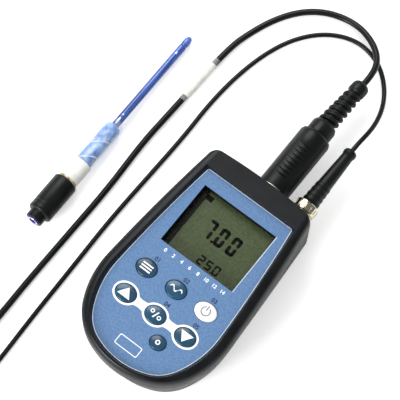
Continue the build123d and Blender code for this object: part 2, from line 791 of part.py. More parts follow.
# Bayonet socket: a barrel with two lugs, trapped in the same way, insulator and contact
jack_back_y = END_WALL_Y - 8.5
jack_front_y = END_WALL_Y + JACK_REACH
jack_collar_y = END_WALL_Y - 3 * WALL - 0.2
with BuildPart() as bayonet_socket:
    add(
        turned(
            [
                (JACK_BORE_RADIUS, jack_back_y),
                (JACK_RADIUS, jack_back_y),
                (JACK_RADIUS, jack_collar_y - COLLAR_THICKNESS),
                (JACK_RADIUS + COLLAR_REACH, jack_collar_y - COLLAR_THICKNESS),
                (JACK_RADIUS + COLLAR_REACH, jack_collar_y),
                (JACK_RADIUS, jack_collar_y),
                (JACK_RADIUS, END_WALL_Y - JACK_FLANGE_SET),
                (JACK_FLANGE_RADIUS, END_WALL_Y - JACK_FLANGE_SET),
                (JACK_FLANGE_RADIUS, END_WALL_Y + JACK_FLANGE_THICKNESS),
                (JACK_RADIUS, END_WALL_Y + JACK_FLANGE_THICKNESS),
                (JACK_RADIUS, jack_front_y),
                (JACK_BORE_RADIUS, jack_front_y),
            ],
            BAYONET_AXIS,
        )
    )
    lug_y = END_WALL_Y + 5.2
    for sign in BOTH_SIDES:
        add(
            rod(
                LUG_RADIUS,
                (JACK_RADIUS + JACK_BORE_RADIUS) / 2,
                JACK_RADIUS + LUG_REACH,
                (BAYONET_X, lug_y, SOCKET_Z),
                along=(0, 0, sign),
            )
        )
save(bayonet_socket, "bayonet_socket")

with BuildPart() as jack_insulator:
    add(tube(JACK_BORE_RADIUS, 1.2, jack_back_y, jack_back_y + 6.0, BAYONET_AXIS))
save(jack_insulator, "jack_insulator")

with BuildPart() as jack_contact:
    add(
        turned(
            [
                (0, jack_back_y - 2.0),
                (1.2, jack_back_y - 2.0),
                (1.2, jack_back_y + 9.0),
                (0.8, jack_back_y + 9.0),
                (0.8, jack_back_y + 4.0),
                (0, jack_back_y + 4.0),
            ],
            BAYONET_AXIS,
        )
    )
save(jack_contact, "jack_contact")

# Round plug: barrel, insert and pins inside the socket; ring, gripped body and collar outside
barrel_low_y = insert_front_y + 0.5
ring_low_y = flange_out_y
ring_high_y = ring_low_y + PLUG_RING_LENGTH
body_high_y = ring_high_y + PLUG_BODY_LENGTH
collar_high_y = body_high_y + PLUG_COLLAR_LENGTH
barrel_radius = ROUND_BORE_RADIUS - FIT
barrel_bore = barrel_radius - 0.7
with BuildPart() as plug_barrel:
    add(
        turned(
            [
                (barrel_bore, barrel_low_y),
                (barrel_radius, barrel_low_y),
                (barrel_radius, ring_low_y),
                (PLUG_RADIUS - 0.3, ring_low_y),
                (PLUG_RADIUS - 0.3, ring_high_y),
                (barrel_bore, ring_high_y),
            ],
            ROUND_AXIS,
        )
    )
save(plug_barrel, "plug_barrel")

plug_insert_low = insert_front_y + 2.5
with BuildPart() as plug_insert:
    add(rod(barrel_bore, plug_insert_low, plug_insert_low + 5.0, ROUND_AXIS))
    for pin_x, pin_z in pin_places():
        add(
            rod(PIN_RADIUS, plug_insert_low - 1, plug_insert_low + 6, (pin_x, 0, pin_z)),
            mode=Mode.SUBTRACT,
        )
save(plug_insert, "plug_insert")

with BuildPart() as plug_pins:
    for pin_x, pin_z in pin_places():
        add(rod(PIN_RADIUS, socket_back_y + 1.5, plug_insert_low + 6, (pin_x, 0, pin_z)))
save(plug_pins, "plug_pins")

with BuildPart() as plug_body:
    add(
        turned(
            [
                (0, ring_high_y),
                (PLUG_RADIUS, ring_high_y),
                (PLUG_RADIUS, body_high_y - 2.5),
                (PLUG_RADIUS - 0.7, body_high_y - 0.8),
                (PLUG_RADIUS - 2.2, body_high_y),
                (0, body_high_y),
            ],
            ROUND_AXIS,
        )
    )
    # Grip grooves across the upper and lower sides
    grip_width = 1.5 * PLUG_RADIUS
    groove_middle = (ring_high_y + body_high_y) / 2 - PLUG_GROOVE_SHIFT
    for sign in BOTH_SIDES:
        with Locations((ROUND_X, groove_middle, SOCKET_Z + sign * PLUG_RADIUS)):
            with GridLocations(0, PLUG_GROOVE_PITCH, 1, PLUG_GROOVES):
                Box(grip_width, PLUG_GROOVE_PITCH / 2, 2 * PLUG_GROOVE_DEPTH, mode=Mode.SUBTRACT)
save(plug_body, "plug_body")

with BuildPart() as plug_collar:
    add(
        turned(
            [
                (0, body_high_y),
                (PLUG_COLLAR_RADIUS, body_high_y),
                (PLUG_COLLAR_RADIUS, collar_high_y - 3),
                (PLUG_COLLAR_RADIUS - 0.9, collar_high_y - 1),
                (PLUG_COLLAR_RADIUS - 2.4, collar_high_y),
                (0, collar_high_y),
            ],
            ROUND_AXIS,
        )
    )
save(plug_collar, "plug_collar")

# Bend relief: ribs on a core that droops a little, ending in a plain cap
relief_along = Vector(RELIEF_TILT).normalized()
relief_start = Vector(ROUND_X, collar_high_y, SOCKET_Z)
relief_length = RELIEF_RIBS * RELIEF_PITCH
relief_profile = [(0, -1.0), (RELIEF_CORE_RADIUS, -1.0)]
for rib in range(RELIEF_RIBS):
    rib_radius = RELIEF_RADIUS + (RELIEF_END_RADIUS - RELIEF_RADIUS) * rib / (RELIEF_RIBS - 1)
    foot = rib * RELIEF_PITCH
    relief_profile += [
        (RELIEF_CORE_RADIUS, foot + 0.12 * RELIEF_PITCH),
        (rib_radius - 0.5, foot + 0.2 * RELIEF_PITCH),
        (rib_radius, foot + 0.35 * RELIEF_PITCH),
        (rib_radius, foot + 0.65 * RELIEF_PITCH),
        (rib_radius - 0.5, foot + 0.8 * RELIEF_PITCH),
        (RELIEF_CORE_RADIUS, foot + 0.88 * RELIEF_PITCH),
    ]
cap_end = relief_length + CAP_LENGTH
relief_profile += [
    (RELIEF_CORE_RADIUS, relief_length),
    (CAP_RADIUS - 0.8, relief_length),
    (CAP_RADIUS, relief_length + 1.2),
    (CAP_RADIUS, cap_end - 2.4),
    (CAP_RADIUS - 1.2, cap_end - 0.6),
    (PROBE_CORD / 2 + 0.8, cap_end),
    (0, cap_end),
]
with BuildPart() as plug_relief:
    add(turned(relief_profile, relief_start, along=relief_along))
    add(
        rod(PLUG_COLLAR_RADIUS, collar_high_y - 5, collar_high_y, ROUND_AXIS),
        mode=Mode.SUBTRACT,
    )
save(plug_relief, "plug_relief")
probe_exit = relief_start + relief_along * cap_end

# Bayonet plug: sleeve and pin inside the socket, coupling ring round it, tapered relief behind
ring_start_y = END_WALL_Y + JACK_FLANGE_THICKNESS + 0.6
ring_end_y = ring_start_y + RING_LENGTH
ring_bore = RING_RADIUS - RING_WALL
with BuildPart() as bayonet_ring:
    add(
        turned(
            [
                (ring_bore, ring_start_y),
                (RING_RADIUS - 0.5, ring_start_y),
                (RING_RADIUS, ring_start_y + 0.5),
                (RING_RADIUS, ring_end_y - 0.5),
                (RING_RADIUS - 0.5, ring_end_y),
                (ring_bore, ring_end_y),
            ],
            BAYONET_AXIS,
        )
    )
    # The lugs run in an inner groove, and enter it by a slot on each side
    groove_radius = JACK_RADIUS + LUG_REACH + 0.3
    add(
        rod(groove_radius, lug_y - LUG_RADIUS - 0.3, lug_y + LUG_RADIUS + 0.3, BAYONET_AXIS),
        mode=Mode.SUBTRACT,
    )
    slot_half = LUG_RADIUS + 0.3
    add(
        block(
            (BAYONET_X - groove_radius, BAYONET_X + groove_radius),
            (ring_start_y - 1, lug_y),
            (SOCKET_Z - slot_half, SOCKET_Z + slot_half),
        ),
        mode=Mode.SUBTRACT,
    )
    # Fine grip flutes round the outside
    flute_plane = Plane((BAYONET_X, ring_start_y + 1.5, SOCKET_Z), x_dir=(1, 0, 0), z_dir=(0, 1, 0))
    with BuildSketch(flute_plane):
        with PolarLocations(RING_RADIUS, 12):
            Circle(0.45)
    extrude(amount=RING_LENGTH - 3.0, mode=Mode.SUBTRACT)
save(bayonet_ring, "bayonet_ring")

sleeve_radius = JACK_BORE_RADIUS - FIT
shank_radius = ring_bore - 0.25
with BuildPart() as bayonet_body:
    add(
        turned(
            [
                (sleeve_radius - 0.5, END_WALL_Y + 0.5),
                (sleeve_radius, END_WALL_Y + 0.5),
                (sleeve_radius, jack_front_y + 0.1),
                (shank_radius, jack_front_y + 0.1),
                (shank_radius, ring_end_y + 0.2),
                (3.3, ring_end_y + 0.2),
                (3.3, ring_end_y + 12.0),
                (1.6, ring_end_y + 12.0),
                (1.6, jack_front_y + 0.1),
                (sleeve_radius - 0.5, jack_front_y + 0.1),
            ],
            BAYONET_AXIS,
        )
    )
save(bayonet_body, "bayonet_body")

with BuildPart() as bayonet_pin:
    add(rod(0.65, jack_back_y + 4.5, jack_front_y - 1.0, BAYONET_AXIS))
    add(rod(1.5, jack_front_y - 1.0, ring_end_y + 10.0, BAYONET_AXIS))
save(bayonet_pin, "bayonet_pin")

boot_start_y = ring_end_y + 0.2
boot_end_y = boot_start_y + BOOT_LENGTH
boot_profile = [(3.3, boot_start_y), (BOOT_RADIUS, boot_start_y)]
WAVES = 4
WAVE_PITCH = 3.6
for wave in range(WAVES):
    foot = boot_start_y + 1.0 + wave * WAVE_PITCH
    wave_radius = BOOT_RADIUS - 0.16 * wave
    boot_profile += [
        (wave_radius, foot + 0.25 * WAVE_PITCH),
        (wave_radius, foot + 0.55 * WAVE_PITCH),
        (wave_radius - 0.4, foot + 0.85 * WAVE_PITCH),
    ]
boot_profile += [
    (BOOT_NECK_RADIUS, boot_end_y - 4.2),
    (BOOT_END_RADIUS - 0.2, boot_end_y - 3.4),
    (BOOT_END_RADIUS, boot_end_y - 2.0),
    (BOOT_END_RADIUS - 0.4, boot_end_y - 0.6),
    (BOOT_END_RADIUS - 1.2, boot_end_y),
    (0, boot_end_y),
    (0, ring_end_y + 12.0),
    (3.3, ring_end_y + 12.0),
]
with BuildPart() as bayonet_boot:
    add(turned(boot_profile, BAYONET_AXIS))
save(bayonet_boot, "bayonet_boot")
electrode_exit = Vector(BAYONET_X, boot_end_y, SOCKET_Z)


def bend_radii(route):
    """One radius for each corner of a route: as large as its two runs allow."""
    points = [Vector(*point) for point in route]
    radii = []
    for before, here, after in zip(points, points[1:], points[2:]):
        first = here - before
        second = after - here
        turn = radians(first.get_angle(second))
        radii.append(0.45 * min(first.length, second.length) / tan(turn / 2))
    return radii


def cord(name, route, diameter):
    """The round tube of a free lead along a route of hand-chosen points."""
    radii = bend_radii(route)
    start = Vector(*route[0])
    with BuildPart() as lead:
        with BuildLine():
            path = FilletPolyline(*route, radius=radii)
        with BuildSketch(Plane(origin=start, z_dir=path % 0)):
            Circle(diameter / 2)
        sweep()
    length = path.length
    section = pi * diameter**2 / 4
    fill = lead.part.volume / (section * length)
    print(f"{name}: length {length:.1f}, tightest radius {min(radii):.1f}, volume ratio {fill:.4f}")
    return lead, length


def coil_ring(centre, middle_radius, across, low, height):
    """The outer shape of a flat coil that lies on the table."""
    inner = middle_radius - across / 2
    outer = middle_radius + across / 2
    edge = across / 4
    top = low + height
    return turned(
        [
            (inner, low + edge),
            (inner + edge, low),
            (outer - edge, low),
            (outer, low + edge),
            (outer, top - edge),
            (outer - edge, top),
            (inner + edge, top),
            (inner, top - edge),
        ],
        (centre[0], centre[1], 0),
        along=(0, 0, 1),
    )


def coil_ties(centre, middle_radius, across, height, angles):
    """Two flat straps, each closed round a coil's bundle of turns."""
    outer_half = across / 2 + TIE_THICKNESS
    with BuildPart() as ties:
        for angle in angles:
            place = Plane(
                origin=(
                    centre[0] + middle_radius * cos(radians(angle)),
                    centre[1] + middle_radius * sin(radians(angle)),
                    TIE_THICKNESS + height / 2,
                ),
                x_dir=(cos(radians(angle)), sin(radians(angle)), 0),
                z_dir=(-sin(radians(angle)), cos(radians(angle)), 0),
            )
            with BuildSketch(place):
                RectangleRounded(2 * outer_half, height + 2 * TIE_THICKNESS, across / 4)
                Rectangle(across, height, mode=Mode.SUBTRACT)
            extrude(amount=TIE_WIDTH / 2, both=True)
    return ties


# Temperature lead: past the crossing, round the loop and down beside the meter to its coil
MARKED_RUN = [(-77.9, 76.0, 2.7), (-75.8, 134.0, 2.7)]
PROBE_ROUTE = [
    tuple(probe_exit),
    tuple(probe_exit + relief_along * 6.4),
    (3.6, 175.6, 12.6),
    (0.2, 181.4, 10.8),
    (-5.2, 186.4, 8.8),
    (-12.6, 190.6, 6.2),
    (-21.6, 193.4, 3.6),
    (-32.4, 193.2, 2.1),
    (-44.6, 189.0, 2.0),
    (-56.2, 180.0, 2.0),
    (-65.4, 166.4, 2.0),
    (-71.6, 150.6, 2.0),
    MARKED_RUN[1],
    MARKED_RUN[0],
    (-79.0, 55.0, 2.0),
    (-77.2, 20.0, 2.0),
    (-77.8, -18.0, 2.0),
    (-78.4, -54.0, 2.0),
    (-77.9, -80.0, 2.2),
    (-78.0, -98.0, 2.8),
]
PROBE_COIL = (-104.0, -98.0)
PROBE_COIL_MIDDLE = 24.0
PROBE_COIL_ACROSS = 8.2
probe_cable, probe_lead_length = cord("probe_cable", PROBE_ROUTE, PROBE_CORD)
save(probe_cable, "probe_cable")

with BuildPart() as probe_cable_coil:
    add(coil_ring(PROBE_COIL, PROBE_COIL_MIDDLE, PROBE_COIL_ACROSS, TIE_THICKNESS, PROBE_COIL_ACROSS))
save(probe_cable_coil, "probe_cable_coil")
probe_coil_ties = coil_ties(PROBE_COIL, PROBE_COIL_MIDDLE, PROBE_COIL_ACROSS, PROBE_COIL_ACROSS, (60, 200))
save(probe_coil_ties, "probe_coil_ties")

# Temperature probe: it lies with its handle's front edge and its tip on the table
probe_slope = (HANDLE_RADIUS - PROBE_RADIUS) / PROBE_LENGTH
probe_along = Vector(1, 0, -probe_slope).normalized()
HANDLE_REAR = (-98.0, -180.0, HANDLE_RADIUS + probe_slope * HANDLE_LENGTH)
PROBE_TAIL = [
    (-104.0, -124.0, 6.9),
    (-113.0, -125.4, 5.6),
    (-121.4, -130.6, 3.6),
    (-127.0, -139.6, 2.2),
    (-128.2, -151.0, 2.0),
    (-125.0, -163.0, 2.2),
    (-117.6, -173.0, 3.6),
    tuple(Vector(*HANDLE_REAR) - probe_along * 9.0),
    HANDLE_REAR,
]
probe_cable_tail, probe_tail_length = cord("probe_cable_tail", PROBE_TAIL, PROBE_CORD)
save(probe_cable_tail, "probe_cable_tail")

with BuildPart() as probe_handle:
    add(
        turned(
            [
                (0, 0),
                (2.6, 0),
                (3.0, 1.0),
                (3.4, 9.0),
                (HANDLE_RADIUS - 0.6, 10.0),
                (HANDLE_RADIUS, 11.0),
                (HANDLE_RADIUS, HANDLE_LENGTH - 1.5),
                (HANDLE_RADIUS - 1.5, HANDLE_LENGTH),
                (0, HANDLE_LENGTH),
            ],
            HANDLE_REAR,
            along=probe_along,
        )
    )
save(probe_handle, "probe_handle")

with BuildPart() as probe_stem:
    add(
        turned(
            [
                (0, HANDLE_LENGTH),
                (PROBE_RADIUS, HANDLE_LENGTH),
                (PROBE_RADIUS, HANDLE_LENGTH + PROBE_LENGTH - 0.8),
                (PROBE_RADIUS - 0.7, HANDLE_LENGTH + PROBE_LENGTH),
                (0, HANDLE_LENGTH + PROBE_LENGTH),
            ],
            HANDLE_REAR,
            along=probe_along,
        )
    )
save(probe_stem, "probe_stem")

# Marker sleeve on the temperature lead
sleeve_along = (Vector(*MARKED_RUN[1]) - Vector(*MARKED_RUN[0])).normalized()
SLEEVE_FROM = 17.8
SLEEVE_TO = 44.2
with BuildPart() as cable_label:
    add(
        tube(
            PROBE_CORD / 2 + 0.45,
            PROBE_CORD / 2,
            SLEEVE_FROM,
            SLEEVE_TO,
            MARKED_RUN[0],
            along=sleeve_along,
        )
    )
save(cable_label, "cable_label")

# Electrode lead: it drops to the table, runs under the other lead and beside it to its own coil
ELECTRODE_ROUTE = [
    tuple(electrode_exit),
    (25.7, 127.9, 19.0),
    (26.0, 136.2, 16.6),
    (25.2, 145.0, 12.4),
    (22.9, 154.4, 7.6),
    (19.0, 163.6, 3.7),
    (13.2, 172.2, 1.8),
    (5.4, 179.4, 1.45),
    (-4.4, 184.4, 1.45),
    (-16.0, 185.9, 1.45),
    (-28.0, 182.6, 1.45),
    (-39.6, 174.6, 1.45),
    (-49.6, 161.6, 1.45),
    (-56.6, 144.6, 1.45),
    (-61.0, 124.0, 1.45),
    (-63.0, 100.0, 1.45),
    (-62.2, 73.0, 1.45),
    (-63.2, 40.0, 1.45),
    (-64.2, 4.0, 1.45),
    (-63.2, -34.0, 1.45),
    (-62.6, -70.0, 1.45),
    (-61.3, -100.0, 1.45),
    (-60.9, -125.0, 1.7),
    (-61.1, -146.0, 2.25),
]
ELECTRODE_COIL = (-80.0, -146.0)
ELECTRODE_COIL_MIDDLE = 17.4
ELECTRODE_COIL_ACROSS = 6.0
ELECTRODE_COIL_HEIGHT = 8.8
electrode_cable, electrode_lead_length = cord("electrode_cable", ELECTRODE_ROUTE, ELECTRODE_CORD)
save(electrode_cable, "electrode_cable")

with BuildPart() as electrode_cable_coil:
    add(
        coil_ring(
            ELECTRODE_COIL,
            ELECTRODE_COIL_MIDDLE,
            ELECTRODE_COIL_ACROSS,
            TIE_THICKNESS,
            ELECTRODE_COIL_HEIGHT,
        )
    )
save(electrode_cable_coil, "electrode_cable_coil")
electrode_coil_ties = coil_ties(
    ELECTRODE_COIL, ELECTRODE_COIL_MIDDLE, ELECTRODE_COIL_ACROSS, ELECTRODE_COIL_HEIGHT, (120, 230)
)
save(electrode_coil_ties, "electrode_coil_ties")

# Screw plug at the electrode lead's far end, for the electrode's threaded head
SCREW_PLUG_START = (-38.0, -164.0, NUT_RADIUS)
nut_start = SCREW_BOOT_LENGTH
ELECTRODE_TAIL = [
    (-61.1, -146.0, 8.1),
    (-60.4, -151.6, 7.6),
    (-57.4, -157.4, 6.9),
    (-52.0, -161.8, 7.1),
    (-46.0, -164.0, 8.0),
    SCREW_PLUG_START,
]
electrode_cable_tail, electrode_tail_length = cord(
    "electrode_cable_tail", ELECTRODE_TAIL, ELECTRODE_CORD
)
save(electrode_cable_tail, "electrode_cable_tail")

along_x = (1, 0, 0)
with BuildPart() as screw_plug_boot:
    add(
        turned(
            [
                (0, 0),
                (2.6, 0),
                (3.0, 1.0),
                (4.8, SCREW_BOOT_LENGTH - 3.0),
                (4.8, SCREW_BOOT_LENGTH - 0.3),
                (0, SCREW_BOOT_LENGTH - 0.3),
            ],
            SCREW_PLUG_START,
            along=along_x,
        )
    )
save(screw_plug_boot, "screw_plug_boot")

bore_radius = 6.1
with BuildPart() as screw_plug_body:
    add(
        turned(
            [
                (0, nut_start - 0.3),
                (4.8, nut_start - 0.3),
                (4.8, nut_start + 2.8),
                (5.6, nut_start + 2.8),
                (5.6, nut_start + 4.0),
                (3.9, nut_start + 4.0),
                (3.9, nut_start + 9.0),
                (3.3, nut_start + 9.0),
                (3.3, nut_start + 5.0),
                (0, nut_start + 5.0),
            ],
            SCREW_PLUG_START,
            along=along_x,
        )
    )
    add(rod(0.7, nut_start + 4.5, nut_start + 10.0, SCREW_PLUG_START, along_x))
save(screw_plug_body, "screw_plug_body")

with BuildPart() as screw_plug_nut:
    add(
        turned(
            [
                (5.0, nut_start),
                (NUT_RADIUS - 0.6, nut_start),
                (NUT_RADIUS, nut_start + 0.6),
                (NUT_RADIUS, nut_start + NUT_LENGTH - 0.6),
                (NUT_RADIUS - 0.6, nut_start + NUT_LENGTH),
                (bore_radius, nut_start + NUT_LENGTH),
                (bore_radius, nut_start + 2.5),
                (5.0, nut_start + 2.5),
            ],
            SCREW_PLUG_START,
            along=along_x,
        )
    )
    rib_plane = Plane(
        (SCREW_PLUG_START[0] + nut_start + 2.0, SCREW_PLUG_START[1], SCREW_PLUG_START[2]),
        x_dir=(0, 1, 0),
        z_dir=(1, 0, 0),
    )
    with BuildSketch(rib_plane):
        with PolarLocations(NUT_RADIUS + 0.1, NUT_RIBS):
            Rectangle(0.9, 1.2)
    extrude(amount=NUT_LENGTH - 4.0, mode=Mode.SUBTRACT)
save(screw_plug_nut, "screw_plug_nut")

# Electrode: it lies on the front edge of its head and on the shoulder of its body tube
electrode_slope = (HEAD_RADIUS - TUBE_RADIUS) / (TUBE_SHOULDER - HEAD_LENGTH)
electrode_along = Vector(0, 1, -electrode_slope).normalized()
electrode_start = (ELECTRODE_X, ELECTRODE_Y, HEAD_RADIUS + 0.02 + electrode_slope * HEAD_LENGTH)
SOCKET_RING = 4.1
CONTACT_RADIUS = 1.1

with BuildPart() as electrode_head:
    add(
        turned(
            [
                (SOCKET_RING, 0.6),
                (HEAD_NECK_RADIUS - 0.4, 0.6),
                (HEAD_NECK_RADIUS, 1.0),
                (HEAD_NECK_RADIUS, HEAD_NECK_LENGTH),
                (HEAD_RADIUS - 0.8, HEAD_NECK_LENGTH),
                (HEAD_RADIUS, HEAD_NECK_LENGTH + 0.8),
                (HEAD_RADIUS, 9.4),
                (HEAD_RADIUS - 0.35, 9.8),
                (HEAD_RADIUS, 10.2),
                (HEAD_RADIUS, 11.6),
                (HEAD_RADIUS - 0.35, 12.0),
                (HEAD_RADIUS, 12.4),
                (HEAD_RADIUS, HEAD_LENGTH - 0.8),
                (HEAD_RADIUS - 0.8, HEAD_LENGTH),
                (TUBE_RADIUS, HEAD_LENGTH),
                (TUBE_RADIUS, HEAD_LENGTH - 6.0),
                (SOCKET_RING, HEAD_LENGTH - 6.0),
            ],
            electrode_start,
            along=electrode_along,
        )
    )
save(electrode_head, "electrode_head")

with BuildPart() as head_insulator:
    add(tube(SOCKET_RING, 2.4, 0.0, 12.0, electrode_start, electrode_along))
    add(tube(2.4, CONTACT_RADIUS, 4.0, 12.0, electrode_start, electrode_along))
save(head_insulator, "head_insulator")

with BuildPart() as head_contact:
    add(rod(CONTACT_RADIUS, 1.2, 14.0, electrode_start, electrode_along))
    add(rod(0.5, 14.0, TUBE_SHOULDER - 11.0, electrode_start, electrode_along))
save(head_contact, "head_contact")

inner_bore = TUBE_RADIUS - TUBE_WALL
with BuildPart() as electrode_tube:
    add(
        turned(
            [
                (INNER_TUBE_RADIUS, HEAD_LENGTH - 6.0),
                (TUBE_RADIUS, HEAD_LENGTH - 6.0),
                (TUBE_RADIUS, TUBE_SHOULDER),
                (TUBE_RADIUS - 0.6, TUBE_SHOULDER + 1.5),
                (TUBE_RADIUS - 1.8, TUBE_SHOULDER + 2.8),
                (STEM_RADIUS + 0.6, TUBE_END),
                (STEM_RADIUS, TUBE_END),
                (STEM_RADIUS, TUBE_SHOULDER - 4.0),
                (inner_bore, TUBE_SHOULDER - 6.0),
                (inner_bore, HEAD_LENGTH - 2.0),
                (INNER_TUBE_RADIUS, HEAD_LENGTH - 2.0),
            ],
            electrode_start,
            along=electrode_along,
        )
    )
save(electrode_tube, "electrode_tube")

inner_start = HEAD_LENGTH - 6.0
inner_end = TUBE_SHOULDER - 8.0
with BuildPart() as reference_tube:
    add(
        turned(
            [
                (INNER_TUBE_RADIUS - 0.6, inner_start),
                (INNER_TUBE_RADIUS, inner_start),
                (INNER_TUBE_RADIUS, inner_end - 6.0),
                (INNER_TUBE_RADIUS - 1.4, inner_end),
                (0, inner_end),
                (0, inner_end - 0.6),
                (INNER_TUBE_RADIUS - 1.9, inner_end - 0.6),
                (INNER_TUBE_RADIUS - 0.6, inner_end - 6.0),
            ],
            electrode_start,
            along=electrode_along,
        )
    )
save(reference_tube, "reference_tube")

with BuildPart() as electrode_stem:
    add(
        tube(
            STEM_RADIUS,
            STEM_RADIUS - STEM_WALL,
            TUBE_SHOULDER - 4.0,
            STEM_LENGTH,
            electrode_start,
            electrode_along,
        )
    )
save(electrode_stem, "electrode_stem")

with BuildPart() as electrode_tip:
    add(
        turned(
            [
                (0, STEM_LENGTH - 3.0),
                (STEM_RADIUS - STEM_WALL, STEM_LENGTH - 3.0),
                (STEM_RADIUS - STEM_WALL, STEM_LENGTH),
                (STEM_RADIUS, STEM_LENGTH),
                (STEM_RADIUS - 0.25, STEM_LENGTH + 1.0),
                (STEM_RADIUS, STEM_LENGTH + 0.35 * TIP_LENGTH),
                (STEM_RADIUS - 0.15, STEM_LENGTH + 0.7 * TIP_LENGTH),
                (1.7, STEM_LENGTH + 0.88 * TIP_LENGTH),
                (0.9, STEM_LENGTH + TIP_LENGTH - 0.3),
                (0, STEM_LENGTH + TIP_LENGTH),
            ],
            electrode_start,
            along=electrode_along,
        )
    )
save(electrode_tip, "electrode_tip")

with BuildPart() as electrode_label:
    add(
        tube(
            TUBE_RADIUS + LABEL_THICKNESS,
            TUBE_RADIUS,
            HEAD_LENGTH + 0.4,
            HEAD_LENGTH + 0.4 + LABEL_LENGTH,
            electrode_start,
            electrode_along,
        )
    )
save(electrode_label, "electrode_label")

# Lengths of the wound leads, for the record
probe_turns = probe_lead_length + probe_tail_length
electrode_turns = electrode_lead_length + electrode_tail_length
print(f"probe lead outside its coil {probe_turns:.1f}, electrode lead {electrode_turns:.1f}")
print("exits", tuple(probe_exit), tuple(electrode_exit))
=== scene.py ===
"""Looks of a hand-held pH meter, its two leads and its electrode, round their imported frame."""

import logging
from collections.abc import Iterable, Sequence
from dataclasses import dataclass
from enum import Enum
from math import cos, pi, radians, sin, tau
from typing import ClassVar

import bmesh
import bpy
from mathutils import Matrix, Vector
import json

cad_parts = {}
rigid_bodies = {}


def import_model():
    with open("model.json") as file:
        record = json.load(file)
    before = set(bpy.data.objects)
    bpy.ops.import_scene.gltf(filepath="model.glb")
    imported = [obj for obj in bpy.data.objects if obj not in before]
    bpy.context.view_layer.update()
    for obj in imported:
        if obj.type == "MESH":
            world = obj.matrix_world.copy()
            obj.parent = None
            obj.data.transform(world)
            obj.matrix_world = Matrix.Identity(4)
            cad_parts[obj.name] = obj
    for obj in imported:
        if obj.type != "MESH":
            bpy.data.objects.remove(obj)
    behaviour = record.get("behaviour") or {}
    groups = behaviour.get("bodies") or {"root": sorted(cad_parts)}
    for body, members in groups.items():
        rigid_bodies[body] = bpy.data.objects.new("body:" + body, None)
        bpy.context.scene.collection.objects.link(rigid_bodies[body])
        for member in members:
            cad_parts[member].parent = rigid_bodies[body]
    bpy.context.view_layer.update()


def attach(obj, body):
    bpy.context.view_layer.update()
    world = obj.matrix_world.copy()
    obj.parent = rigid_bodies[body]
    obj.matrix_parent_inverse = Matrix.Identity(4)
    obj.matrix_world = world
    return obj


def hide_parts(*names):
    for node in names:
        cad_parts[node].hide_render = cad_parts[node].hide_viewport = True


MM = 0.001
METER = "meter"
DIGIT_SHARE = 0.73  # height of a digit as a share of the font's size
DIGIT_WEIGHT = 0.03  # how far a digit's outline is fattened, as a share of its height
LOG = logging.getLogger("ph_meter")

Point = tuple[float, float, float]
Spot = tuple[float, float]
Outline = Sequence[Spot]


def linear(code: str) -> tuple[float, float, float, float]:
    """Turn an sRGB hex colour into the linear colour that a shader takes.

    Args:
        code: Six hex digits, without a hash sign.

    Returns:
        Linear red, green, blue and an alpha of one.
    """
    channels = (int(code[i : i + 2], 16) / 255 for i in (0, 2, 4))
    red, green, blue = (c / 12.92 if c <= 0.04045 else ((c + 0.055) / 1.055) ** 2.4 for c in channels)
    return red, green, blue, 1.0


def add_node(tree: bpy.types.NodeTree, kind: str, **inputs: object) -> bpy.types.Node:
    """Add one shader node with its settings and links.

    Args:
        tree: Node tree that gets the node.
        kind: Blender's name of the node's type.
        **inputs: Input sockets by name, with underscores for spaces; a value or an output to
            link. A name that is no socket is set on the node itself.

    Returns:
        The new node.
    """
    node = tree.nodes.new(kind)
    for name, value in inputs.items():
        if not name[0].isupper():
            setattr(node, name, value)
            continue
        socket = node.inputs[name.replace("_", " ")]
        if isinstance(value, bpy.types.NodeSocket):
            tree.links.new(value, socket)
        else:
            socket.default_value = value
    return node


